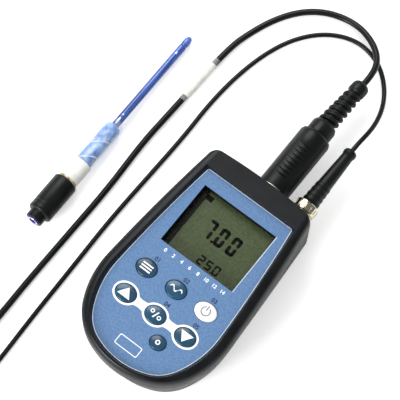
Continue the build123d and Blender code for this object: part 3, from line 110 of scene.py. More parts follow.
@dataclass(frozen=True)
class Finish:
    """One finish: what the surface is made of and what its making left on it."""

    name: str
    colour: str
    roughness: float
    metallic: float = 0.0
    ior: float = 1.5
    alpha: float = 1.0
    coat: float = 0.0
    sheen: float = 0.0
    transmission: float = 0.0
    glow: float = 0.0  # share of its own colour that it gives off, as a lit gel does
    grain_mm: float = 0.35  # width of the grain that the mould or the tool left
    grain_deep_mm: float = 0.01
    stretch: Point = (1.0, 1.0, 1.0)  # how the grain is drawn out along X, Y and Z
    second: str = ""  # colour that the first one wanders towards
    wander_mm: float = 14.0
    uneven: float = 0.06  # how far the roughness wanders
    spread: float = 0.2  # half the span of the noise over which the colour changes

    def material(self) -> bpy.types.Material:
        """Make this finish's material on its first use.

        Returns:
            The material, the same one at every later use.
        """
        known = bpy.data.materials.get(self.name)
        if known is not None:
            return known
        made = bpy.data.materials.new(self.name)
        made.use_nodes = True
        tree = made.node_tree
        tree.nodes.clear()
        place = add_node(tree, "ShaderNodeTexCoord").outputs["Object"]
        drawn = add_node(tree, "ShaderNodeMapping", Vector=place, Scale=self.stretch).outputs["Vector"]
        grain = add_node(
            tree, "ShaderNodeTexNoise", Vector=drawn, Scale=1 / (self.grain_mm * MM), Detail=3.0
        ).outputs["Fac"]
        cloud = add_node(
            tree, "ShaderNodeTexNoise", Vector=drawn, Scale=1 / (self.wander_mm * MM), Detail=4.0
        ).outputs["Fac"]
        bump = add_node(
            tree,
            "ShaderNodeBump",
            Height=grain,
            Distance=self.grain_deep_mm * MM,
            Strength=1.0,
        )
        rough = add_node(
            tree,
            "ShaderNodeMapRange",
            Value=cloud,
            From_Min=0.3,
            From_Max=0.7,
            To_Min=max(self.roughness - self.uneven, 0.02),
            To_Max=min(self.roughness + self.uneven, 1.0),
        )
        share = add_node(
            tree,
            "ShaderNodeMapRange",
            Value=cloud,
            From_Min=0.5 - self.spread,
            From_Max=0.5 + self.spread,
        )
        tint = add_node(
            tree,
            "ShaderNodeMix",
            data_type="RGBA",
            Factor=share.outputs["Result"],
        )
        tint.inputs[6].default_value = linear(self.colour)
        tint.inputs[7].default_value = linear(self.second or self.colour)
        shader = add_node(
            tree,
            "ShaderNodeBsdfPrincipled",
            Base_Color=tint.outputs[2],
            Roughness=rough.outputs["Result"],
            Normal=bump.outputs["Normal"],
            Metallic=self.metallic,
            Alpha=self.alpha,
            Coat_Weight=self.coat,
            Sheen_Weight=self.sheen,
            Transmission_Weight=self.transmission,
            Emission_Strength=self.glow,
            Emission_Color=linear(self.colour),
        )
        if not self.metallic:
            shader.inputs["IOR"].default_value = self.ior
        add_node(tree, "ShaderNodeOutputMaterial", Surface=shader.outputs["BSDF"])
        return made


# Glass-filled ABS from a spark-eroded mould: near black, with a fine grain that spreads the light
ABS_CASE = Finish("abs_case", "0C0E11", 0.38, ior=1.37, grain_mm=0.5, grain_deep_mm=0.012, second="15181C")
# Polyester film printed on its back: an even blue under a fine matt texture
POLYESTER_FILM = Finish(
    "polyester_film",
    "4F729F",
    0.5,
    ior=1.4,
    grain_mm=0.45,
    grain_deep_mm=0.006,
    second="6384AC",
    wander_mm=1.2,
)
# The film's cut edge, where its clear face shows pale
FILM_EDGE = Finish(
    "film_cut_edge", "DDE6EE", 0.3, coat=0.3, grain_deep_mm=0.002, second="B9C9DC", wander_mm=8.0
)
# Screen-printed inks on the film: flat, opaque and dull
WHITE_INK = Finish("white_ink", "F4F6F8", 0.5, grain_deep_mm=0.003)
NAVY_INK = Finish("navy_ink", "16295A", 0.5, grain_deep_mm=0.003)
GREY_INK = Finish("grey_ink", "7C7F84", 0.5, grain_deep_mm=0.003)
# Acrylic window: clear and polished
ACRYLIC = Finish("acrylic_window", "0A0C0A", 0.06, ior=1.49, alpha=0.06, grain_deep_mm=0.0005, uneven=0.02)
# Reflective liquid-crystal cell: olive, slightly mottled by its diffuser
LIQUID_CRYSTAL = Finish(
    "liquid_crystal", "3F4C2B", 0.4, grain_mm=0.6, grain_deep_mm=0.004, second="525E38", wander_mm=1.5
)
# Lit segments of the cell: they stop the light and look black; the same black also makes a tab of painted
# shade at the window's upper left corner
SEGMENT_AND_PAINTED_SHADE = Finish("dark_segment_and_painted_shade", "060704", 0.6, ior=1.3, grain_deep_mm=0.002)
# Silicone rubber key tops, dark teal with a satin coat
SILICONE_TEAL = Finish(
    "silicone_teal", "1F516F", 0.3, coat=0.35, grain_mm=0.3, grain_deep_mm=0.003, second="16384E"
)
# The power key's white silicone, and the paler grey mat under all the keys
SILICONE_WHITE = Finish("silicone_white", "EEF0F1", 0.35, coat=0.2, grain_deep_mm=0.003, second="E4E7EA")
SILICONE_GREY = Finish("silicone_grey", "B9BDC0", 0.6, second="A8ADB1")
# Moulded rubber of the bend reliefs and the ties: black, with a soft broad shine
RUBBER_BLACK = Finish(
    "rubber_black", "0D0F10", 0.4, ior=1.37, grain_mm=0.6, grain_deep_mm=0.01, second="171A1A"
)
# Polyamide plugs: dark, with a faint moulding grain
POLYAMIDE = Finish(
    "polyamide_plug", "0D100F", 0.38, ior=1.36, grain_mm=0.5, grain_deep_mm=0.012, second="151917"
)
# Bright nickel over turned brass: warm, with fine turning lines
NICKEL = Finish(
    "turned_nickel",
    "F2EAD4",
    0.2,
    metallic=1.0,
    grain_mm=0.25,
    grain_deep_mm=0.003,
    stretch=(0.2, 3.0, 0.2),
    second="E2D9BF",
    wander_mm=4.0,
)
# The same nickel, blasted before plating: it spreads the light evenly
SATIN_NICKEL = Finish("satin_nickel", "F6F3EA", 0.5, metallic=1.0, grain_deep_mm=0.002, second="EDE8DA")
# Centreless-ground stainless steel: cool grey with a streak along its length
STEEL = Finish(
    "ground_steel", "BFC2C4", 0.22, metallic=1.0, grain_mm=0.3, grain_deep_mm=0.003, stretch=(0.1, 2.0, 2.0)
)
# Coloured reference gel: streaks of deep and pale blue along the body
GEL = Finish(
    "reference_gel",
    "2F6CC0",
    0.3,
    coat=0.3,
    grain_deep_mm=0.001,
    second="A6C9F0",
    wander_mm=4.0,
    stretch=(1.0, 0.4, 1.0),
    spread=0.12,
)
# Cured resin at the foot of the glass, unevenly amber
SEAL = Finish("amber_seal", "B39A62", 0.4, second="E6DFC8", wander_mm=2.0, spread=0.06)
# Thin gold over the contacts
GOLD = Finish("gold_flash", "D9AE55", 0.2, metallic=1.0, grain_deep_mm=0.001)
# Extruded lead jacket: black, smooth along its length
JACKET = Finish("pvc_jacket", "0B0D0E", 0.32, ior=1.36, grain_mm=0.8, grain_deep_mm=0.005, second="15181A")
# Marker sleeve: matt off-white
PAPER_SLEEVE = Finish("printed_sleeve", "F1F1ED", 0.42, grain_deep_mm=0.006, second="E2E3DD", wander_mm=5.0)
# Shrunk clear tube: glossy, with the slow waves that the heat left
CLEAR_SHRINK = Finish(
    "clear_shrink_tube", "E6EAE2", 0.1, ior=1.4, alpha=0.15, coat=0.6, grain_mm=3.0, grain_deep_mm=0.01
)
# Borosilicate glass over pale blue gel; its colour wanders into white patches that are painted highlights
BLUE_GLASS_WITH_PAINTED_HIGHLIGHTS = Finish(
    "blue_glass_with_painted_highlights",
    "7FB0EA",
    0.06,
    ior=1.47,
    alpha=0.17,
    coat=0.8,
    grain_deep_mm=0.001,
    second="FFFFFF",
    wander_mm=3.0,
    spread=0.1,
)
INNER_GLASS = Finish(
    "inner_glass", "E6F1FB", 0.1, ior=1.47, alpha=0.5, coat=0.5, second="8FB4E4", wander_mm=3.0
)
# Drawn glass stem over dark blue fluid: long streaks between two blues under a bright skin
STEM_GLASS = Finish(
    "stem_glass",
    "1E3680",
    0.1,
    ior=1.47,
    alpha=0.95,
    coat=0.9,
    grain_deep_mm=0.001,
    second="3F66B8",
    wander_mm=3.0,
    stretch=(1.6, 0.12, 1.6),
    spread=0.12,
)
# The thin sensing glass, blown from the stem: darker at its end
TIP_GLASS = Finish(
    "tip_glass", "223C8C", 0.06, ior=1.47, alpha=0.9, coat=0.9, grain_deep_mm=0.001, second="5577CC"
)
# Small parts that show little: dyed insulator, natural plastic, lacquered board, chips, printed cells; the
# chips' black also dresses the display frame, whose wide left strip is painted shade
BLUE_INSULATOR = Finish("blue_insulator", "3A3F9E", 0.35, coat=0.3)
NATURAL_PLASTIC = Finish("natural_plastic", "E2DFD4", 0.45)
SOLDER_MASK = Finish("solder_mask", "1F5A34", 0.35, coat=0.4, second="1A4B2B")
CHIP_AND_PAINTED_SHADE = Finish("moulded_chip_and_painted_shade", "1B1B1D", 0.5)
CELL_WRAP = Finish("cell_wrap", "3B3E44", 0.3, metallic=0.6, second="8B8F96", wander_mm=20.0)


def dress(piece: bpy.types.Object, finish: Finish) -> bpy.types.Object:
    """Give a piece or a CAD node one finish all over.

    Args:
        piece: The piece or node.
        finish: Its finish.

    Returns:
        The same piece.
    """
    piece.data.materials.clear()
    piece.data.materials.append(finish.material())
    return piece


def enter(
    bm: bmesh.types.BMesh,
    name: str,
    finish: Finish,
    body: str = METER,
    replaces: Iterable[str] = (),
    sharp: float = 35.0,
) -> bpy.types.Object:
    """Turn a finished bmesh into a piece that rides on a body.

    Args:
        bm: The shape in metres, freed by this call.
        name: Name of the piece.
        finish: Its finish.
        body: Body that it rides on.
        replaces: CAD nodes that it stands for.
        sharp: Angle in degrees above which an edge stays sharp.

    Returns:
        The new object.
    """
    bmesh.ops.remove_doubles(bm, verts=bm.verts, dist=1e-7)
    bmesh.ops.recalc_face_normals(bm, faces=bm.faces)
    mesh = bpy.data.meshes.new(name)
    bm.to_mesh(mesh)
    bm.free()
    mesh.shade_smooth()
    mesh.set_sharp_from_angle(angle=radians(sharp))
    piece = bpy.data.objects.new(name, mesh)
    bpy.context.scene.collection.objects.link(piece)
    dress(piece, finish)
    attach(piece, body)
    for node in replaces:
        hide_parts(node)
    LOG.info("%s: %d faces on %s", name, len(mesh.polygons), body)
    return piece


def bevelled(piece: bpy.types.Object, width_mm: float, segments: int = 2, angle: float = 40.0) -> None:
    """Round a piece's sharp edges with a Bevel modifier.

    Args:
        piece: The piece.
        width_mm: Width of the rounding.
        segments: Faces across it.
        angle: Angle in degrees above which an edge is rounded.
    """
    bevel = piece.modifiers.new("edges", "BEVEL")
    bevel.width = width_mm * MM
    bevel.segments = segments
    bevel.limit_method = "ANGLE"
    bevel.angle_limit = radians(angle)
    bevel.harden_normals = False


def smooth_copy(
    node: str,
    finish: Finish,
    body: str = METER,
    edge_mm: float = 0.0,
    sharp: float = 35.0,
) -> bpy.types.Object:
    """Stand a smooth-shaded copy in for a CAD node.

    Args:
        node: The CAD node.
        finish: Finish of the copy.
        body: Body that it rides on.
        edge_mm: Width of the rounding of its sharp edges, or 0 for none.
        sharp: Angle in degrees above which an edge stays sharp.

    Returns:
        The copy.
    """
    bm = bmesh.new()
    bm.from_mesh(bpy.data.objects[node].data)
    bmesh.ops.remove_doubles(bm, verts=bm.verts, dist=2e-6)
    if edge_mm:
        bmesh.ops.dissolve_limit(
            bm, angle_limit=radians(0.5), verts=bm.verts, edges=bm.edges, delimit={"NORMAL"}
        )
    piece = enter(bm, node + "_skin", finish, body, (node,), sharp)
    if edge_mm:
        bevelled(piece, edge_mm)
    return piece


def axis_frame(origin: Point, along: Point) -> Matrix:
    """Return the matrix that puts a shape made along +Z at an origin, pointing along an axis."""
    turn = Vector(along).normalized().to_track_quat("Z", "Y").to_matrix().to_4x4()
    return Matrix.Translation(Vector(origin) * MM) @ turn


def lathe(profile: Outline, steps: int = 64) -> bmesh.types.BMesh:
    """Turn a section about the Z axis.

    Args:
        profile: (radius, distance) points in millimetres, open at the axis or closed on itself.
        steps: Faces round the axis.

    Returns:
        The turned shape, in metres.
    """
    bm = bmesh.new()
    verts = [bm.verts.new((radius * MM, 0.0, height * MM)) for radius, height in profile]
    edges = [bm.edges.new(pair) for pair in zip(verts, verts[1:])]
    if profile[0][0] > 0 or profile[-1][0] > 0:
        edges.append(bm.edges.new((verts[-1], verts[0])))
    bmesh.ops.spin(
        bm,
        geom=verts + edges,
        cent=(0, 0, 0),
        axis=(0, 0, 1),
        angle=tau,
        steps=steps,
        use_merge=True,
    )
    bmesh.ops.remove_doubles(bm, verts=bm.verts, dist=1e-7)
    return bm


def raised_top(bm: bmesh.types.BMesh, faces: Iterable[bmesh.types.BMFace], rise: float) -> None:
    """Raise flat faces to a closed thin plate.

    Args:
        bm: The bmesh that holds them.
        faces: Faces that lie in one level plane.
        rise: Thickness of the plate in millimetres.
    """
    raised = bmesh.ops.extrude_face_region(bm, geom=list(faces))["geom"]
    top = [item for item in raised if isinstance(item, bmesh.types.BMVert)]
    bmesh.ops.translate(bm, verts=top, vec=(0, 0, rise * MM))


def moved(bm: bmesh.types.BMesh, matrix: Matrix) -> bmesh.types.BMesh:
    """Move a whole bmesh by a matrix and return it."""
    bmesh.ops.transform(bm, matrix=matrix, verts=bm.verts)
    return bm


def joined(parts: Iterable[bmesh.types.BMesh]) -> bmesh.types.BMesh:
    """Put several shapes in one bmesh.

    Args:
        parts: The shapes, freed by this call.

    Returns:
        One bmesh with all of them.
    """
    whole = bmesh.new()
    for part in parts:
        mesh = bpy.data.meshes.new("part")
        part.to_mesh(mesh)
        part.free()
        whole.from_mesh(mesh)
        bpy.data.meshes.remove(mesh)
    return whole


def flat_plate(outline: Outline, low: float, high: float) -> bmesh.types.BMesh:
    """Raise a flat outline to a thin plate.

    Args:
        outline: Corner points in millimetres, in order round the plate.
        low: Height of its lower face in millimetres.
        high: Height of its upper face in millimetres.

    Returns:
        The plate, in metres.
    """
    bm = bmesh.new()
    face = bm.faces.new([bm.verts.new((x * MM, y * MM, low * MM)) for x, y in outline])
    raised_top(bm, [face], high - low)
    return bm


def ring_plate(
    outer: Outline, inner: Outline, low: float, high: float
) -> bmesh.types.BMesh:
    """Raise a thin plate between two outlines that have the same number of points.

    Args:
        outer: Outer outline in millimetres.
        inner: Inner outline in millimetres.
        low: Height of its lower face in millimetres.
        high: Height of its upper face in millimetres.

    Returns:
        The plate, in metres.
    """
    bm = bmesh.new()
    loops = []
    for outline in (outer, inner):
        verts = [bm.verts.new((x * MM, y * MM, low * MM)) for x, y in outline]
        loops += [bm.edges.new(pair) for pair in zip(verts, verts[1:] + verts[:1])]
    raised_top(bm, bmesh.ops.bridge_loops(bm, edges=loops)["faces"], high - low)
    return bm


def pierced_plate(
    outline: Outline,
    holes: Iterable[Outline],
    low: float,
    high: float,
) -> bmesh.types.BMesh:
    """Raise a flat outline with holes in it to a thin plate.

    Args:
        outline: Corner points in millimetres, in order round the plate.
        holes: Outline of each hole in millimetres.
        low: Height of its lower face in millimetres.
        high: Height of its upper face in millimetres.

    Returns:
        The plate, in metres.
    """
    bm = bmesh.new()
    for loop in (outline, *holes):
        verts = [bm.verts.new((x * MM, y * MM, low * MM)) for x, y in loop]
        for pair in zip(verts, verts[1:] + verts[:1]):
            bm.edges.new(pair)
    filled = bmesh.ops.triangle_fill(bm, use_beauty=True, edges=bm.edges)["geom"]
    raised_top(bm, (item for item in filled if isinstance(item, bmesh.types.BMFace)), high - low)
    return bm


def oval(x: float, y: float, half_x: float, half_y: float, steps: int = 48) -> list[Spot]:
    """Work out an ellipse.

    Args:
        x: Its middle in millimetres.
        y: Its middle in millimetres.
        half_x: Half its width in millimetres.
        half_y: Half its height in millimetres.
        steps: Number of points.

    Returns:
        Its points, anticlockwise from +X.
    """
    return [
        (x + half_x * cos(tau * i / steps), y + half_y * sin(tau * i / steps)) for i in range(steps)
    ]


def digits(text: str, x: float, y: float, tall: float, low: float, thick: float) -> bmesh.types.BMesh:
    """Cut plain digits out of a thin plate.

    Args:
        text: The digits.
        x: Middle of the text in millimetres.
        y: Middle of its height in millimetres.
        tall: Height of a digit in millimetres.
        low: Height of the plate's lower face in millimetres.
        thick: Thickness of the plate in millimetres.

    Returns:
        The digits as one thin mesh, in metres.
    """
    curve = bpy.data.curves.new("digits", "FONT")
    curve.body = text
    curve.size = tall * MM / DIGIT_SHARE
    curve.align_x = "CENTER"
    curve.offset = DIGIT_WEIGHT * tall * MM
    curve.extrude = thick / 2 * MM
    holder = bpy.data.objects.new("digits", curve)
    bpy.context.scene.collection.objects.link(holder)
    shape = holder.evaluated_get(bpy.context.evaluated_depsgraph_get())
    mesh = bpy.data.meshes.new_from_object(shape)
    bm = bmesh.new()
    bm.from_mesh(mesh)
    bpy.data.meshes.remove(mesh)
    bpy.data.objects.remove(holder)
    bpy.data.curves.remove(curve)
    return moved(bm, Matrix.Translation((x * MM, (y - tall / 2) * MM, (low + thick / 2) * MM)))


def rounded_field(x: float, y: float, half_x: float, half_y: float, corner: float) -> list[Spot]:
    """Work out a rectangle with round corners.

    Args:
        x: Its middle in millimetres.
        y: Its middle in millimetres.
        half_x: Half its width in millimetres.
        half_y: Half its height in millimetres.
        corner: Radius of its corners in millimetres.

    Returns:
        Its points, anticlockwise.
    """
    steps = 6
    points = []
    for quarter, (sign_x, sign_y) in enumerate(((1, 1), (-1, 1), (-1, -1), (1, -1))):
        for i in range(steps + 1):
            angle = (quarter + i / steps) * pi / 2
            points.append(
                (
                    x + sign_x * (half_x - corner) + corner * cos(angle),
                    y + sign_y * (half_y - corner) + corner * sin(angle),
                )
            )
    return points


class Mark(Enum):
    """What is printed on a key."""

    BARS = "three bars"
    WAVE = "wave"
    POWER = "power sign"
    UP = "arrow up"
    DOWN = "arrow down"
    UNITS = "ring, stroke and ring"
    DOT = "dot"


@dataclass
class Case:
    """The two case halves, the battery cover, the printed plate and what is under the keys."""

    edge_mm: float = 0.35
    trim_mm: float = 0.45
    trim_rise: float = 0.03
    cover_edge_mm: float = 0.25
    level: float = 0.9  # least upward share of a level face's normal
    window: tuple[float, float, float, float] = (-26.0, 26.0, 5.6, 47.6)
    rim_margin: float = 1.0  # how far from the window or a key an edge is still its rim

    def outlines_plate(self, edge: bmesh.types.BMEdge) -> bool:
        """Tell the plate's outer outline from the rims of its holes.

        Args:
            edge: A rim edge of the plate's top.

        Returns:
            True where the edge is part of the outer outline.
        """
        middle = (edge.verts[0].co + edge.verts[1].co) / 2 / MM
        x0, x1, y0, y1 = self.window
        margin = self.rim_margin
        if x0 - margin < middle.x < x1 + margin and y0 - margin < middle.y < y1 + margin:
            return False
        return all(
            ((middle.x - key.x) / (key.width / 2 + margin)) ** 2
            + ((middle.y - key.y) / (key.height / 2 + margin)) ** 2
            > 1
            for key in Keypad().keys()
        )

    def trim(self, plate: bpy.types.Object) -> None:
        """Lay the pale cut edge of the film along its outline and along the window's sides.

        Args:
            plate: The plate's smooth copy, whose outline is followed.
        """
        bm = bmesh.new()
        bm.from_mesh(plate.data)
        top = max(vert.co.z for vert in bm.verts)
        low, high = top / MM, top / MM + self.trim_rise
        rim = [
            edge
            for edge in bm.edges
            if min(vert.co.z for vert in edge.verts) > top - 1e-6
            and sum(face.normal.z > self.level for face in edge.link_faces) == 1
            and self.outlines_plate(edge)
        ]
        strips = []
        for edge in rim:
            start, end = (vert.co.to_2d() / MM for vert in edge.verts)
            if (end - start).length < 1e-3:
                continue
            flat = next(face for face in edge.link_faces if face.normal.z > self.level)
            side = Vector((start.y - end.y, end.x - start.x)).normalized() * self.trim_mm
            middle = flat.calc_center_median().to_2d() / MM
            if side.dot(middle - start) < 0:
                side = -side
            corners = (start, end, end + side, start + side)
            strips.append(flat_plate([tuple(corner) for corner in corners], low, high))
        bm.free()
        x0, x1, y0, y1 = self.window
        wide = self.trim_mm
        strips.append(flat_plate([(x1, y0), (x1 + wide, y0), (x1 + wide, y1), (x1, y1)], low, high))
        enter(joined(strips), "film_cut_edge", FILM_EDGE)

    def build(self) -> None:
        """Stand smooth shells in for the case's nodes and dress the inner ones."""
        smooth_copy("front_housing", ABS_CASE, edge_mm=self.edge_mm, sharp=30)
        smooth_copy("rear_housing", ABS_CASE, edge_mm=self.edge_mm, sharp=30)
        smooth_copy(
            "battery_cover", ABS_CASE, "battery_cover", edge_mm=self.cover_edge_mm
        )
        plate = smooth_copy("face_plate", POLYESTER_FILM)
        for polygon in plate.data.polygons:
            polygon.use_smooth = polygon.normal.z < self.level
        self.trim(plate)
        nodes = bpy.data.objects
        for name, finish in (
            ("circuit_board", SOLDER_MASK),
            ("board_components", CHIP_AND_PAINTED_SHADE),
            ("key_mat", SILICONE_GREY),
            ("contact_strips", RUBBER_BLACK),
            ("screws", STEEL),
            ("battery_contacts", NICKEL),
            ("battery_cell_1", CELL_WRAP),
            ("battery_cell_2", CELL_WRAP),
            ("battery_cell_3", CELL_WRAP),
        ):
            dress(nodes[name], finish)


@dataclass
class Display:
    """The liquid-crystal cell, its dark frame, whose wide left strip is painted shade, its window, what it
    shows and a dark tab of painted shade.
    """

    middle_y: float = 26.6
    glass_top: float = 29.5
    ink: float = 0.06
    digit_height: float = 12.3
    digit_width: float = 5.9
    digit_pitch: float = 8.7
    small_height: float = 6.2
    small_width: float = 4.0
    small_pitch: float = 5.5
    digits_left: float = -11.1
    digits_drop: float = 3.7  # from the window's middle down to the feet of the large digits
    small_left: float = -2.8
    small_drop: float = 18.5
    # painted shade: a dark block where the window's left wall shades the cell's upper left corner
    painted_shade_tab: tuple[float, float, float, float] = (-22.0, -17.6, 15.8, 19.0)  # from the window's middle
    stroke: float = 0.17  # width of a segment as a share of the digit's height
    dot: float = 0.13  # width of the dot as a share of it
    gap: float = 0.1  # gap between two segments as a share of their width

    SEGMENTS: ClassVar[dict[str, str]] = {
        "0": "abcdef",
        "1": "bc",
        "2": "abged",
        "3": "abgcd",
        "4": "fgbc",
        "5": "afgcd",
        "6": "afgedc",
        "7": "abc",
        "8": "abcdefg",
        "9": "abcdfg",
    }

    def bar(self, digit_x: float, digit_y: float, wide: float, tall: float, which: str) -> list[Spot]:
        """Work out one lit segment of a seven-segment digit.

        Args:
            digit_x: Left side of the digit in millimetres.
            digit_y: Foot of the digit in millimetres.
            wide: Width of the digit in millimetres.
            tall: Height of the digit in millimetres.
            which: The segment's letter.

        Returns:
            The segment's outline.
        """
        thick = tall * self.stroke
        half = thick / 2
        middle = tall / 2
        gap = thick * self.gap
        spans = {
            "a": ((0, tall - half), (wide, tall - half)),
            "g": ((0, middle), (wide, middle)),
            "d": ((0, half), (wide, half)),
            "f": ((half, middle), (half, tall)),
            "b": ((wide - half, middle), (wide - half, tall)),
            "e": ((half, 0), (half, middle)),
            "c": ((wide - half, 0), (wide - half, middle)),
        }
        (x0, y0), (x1, y1) = spans[which]
        if which in "agd":
            low, high = x0 + gap, x1 - gap
            points = [
                (low, y0),
                (low + half, y0 - half),
                (high - half, y0 - half),
                (high, y0),
                (high - half, y0 + half),
                (low + half, y0 + half),
            ]
        else:
            low, high = y0 + gap, y1 - gap
            points = [
                (x0, low),
                (x0 + half, low + half),
                (x0 + half, high - half),
                (x0, high),
                (x0 - half, high - half),
                (x0 - half, low + half),
            ]
        return [(digit_x + x, digit_y + y) for x, y in points]

    def number(
        self, text: str, x: float, y: float, wide: float, tall: float, pitch: float
    ) -> list[bmesh.types.BMesh]:
        """Raise the lit segments of a number.

        Args:
            text: The number, with a full stop where it has a dot.
            x: Left side of its first digit in millimetres.
            y: Foot of its digits in millimetres.
            wide: Width of a digit in millimetres.
            tall: Height of a digit in millimetres.
            pitch: Distance between two digits' left sides in millimetres.

        Returns:
            One thin plate for each segment and dot.
        """
        plates = []
        low, high = self.glass_top, self.glass_top + self.ink
        at = x
        for sign in text:
            if sign == ".":
                size = tall * self.dot
                left = at - pitch + wide + size * 0.9
                corners = [(left, y), (left + size, y), (left + size, y + size), (left, y + size)]
                plates.append(flat_plate(corners, low, high))
                continue
            for which in self.SEGMENTS[sign]:
                plates.append(flat_plate(self.bar(at, y, wide, tall, which), low, high))
            at += pitch
        return plates

    def build(self) -> None:
        """Dress the display's nodes, light plain numbers on it and lay a dark tab of painted shade in its
        upper left corner.
        """
        nodes = bpy.data.objects
        dress(nodes["display_glass"], LIQUID_CRYSTAL)
        # The frame is partly a real black frame; its wide left strip is painted shade, dark where the
        # window's left wall shades the cell
        dress(nodes["display_frame"], CHIP_AND_PAINTED_SHADE)
        smooth_copy("display_lens", ACRYLIC)
        plates = self.number(
            "7.00",
            self.digits_left,
            self.middle_y - self.digits_drop,
            self.digit_width,
            self.digit_height,
            self.digit_pitch,
        )
        plates += self.number(
            "25.0",
            self.small_left,
            self.middle_y - self.small_drop,
            self.small_width,
            self.small_height,
            self.small_pitch,
        )
        # A dark block of painted shade, joined to the frame's left strip
        x0, x1, low_y, high_y = self.painted_shade_tab
        y0, y1 = self.middle_y + low_y, self.middle_y + high_y
        corners = [(x0, y0), (x1, y0), (x1, y1), (x0, y1)]
        plates.append(flat_plate(corners, self.glass_top, self.glass_top + self.ink))
        enter(joined(plates), "display_segments", SEGMENT_AND_PAINTED_SHADE)


@dataclass
class Key:
    """One key: where it is, how wide it is and what is printed on it."""

    name: str
    x: float
    y: float
    width: float = 13.4
    height: float = 10.7
    finish: Finish = SILICONE_TEAL
    slot: str = "key_rubber"
    mark: Mark = Mark.DOT


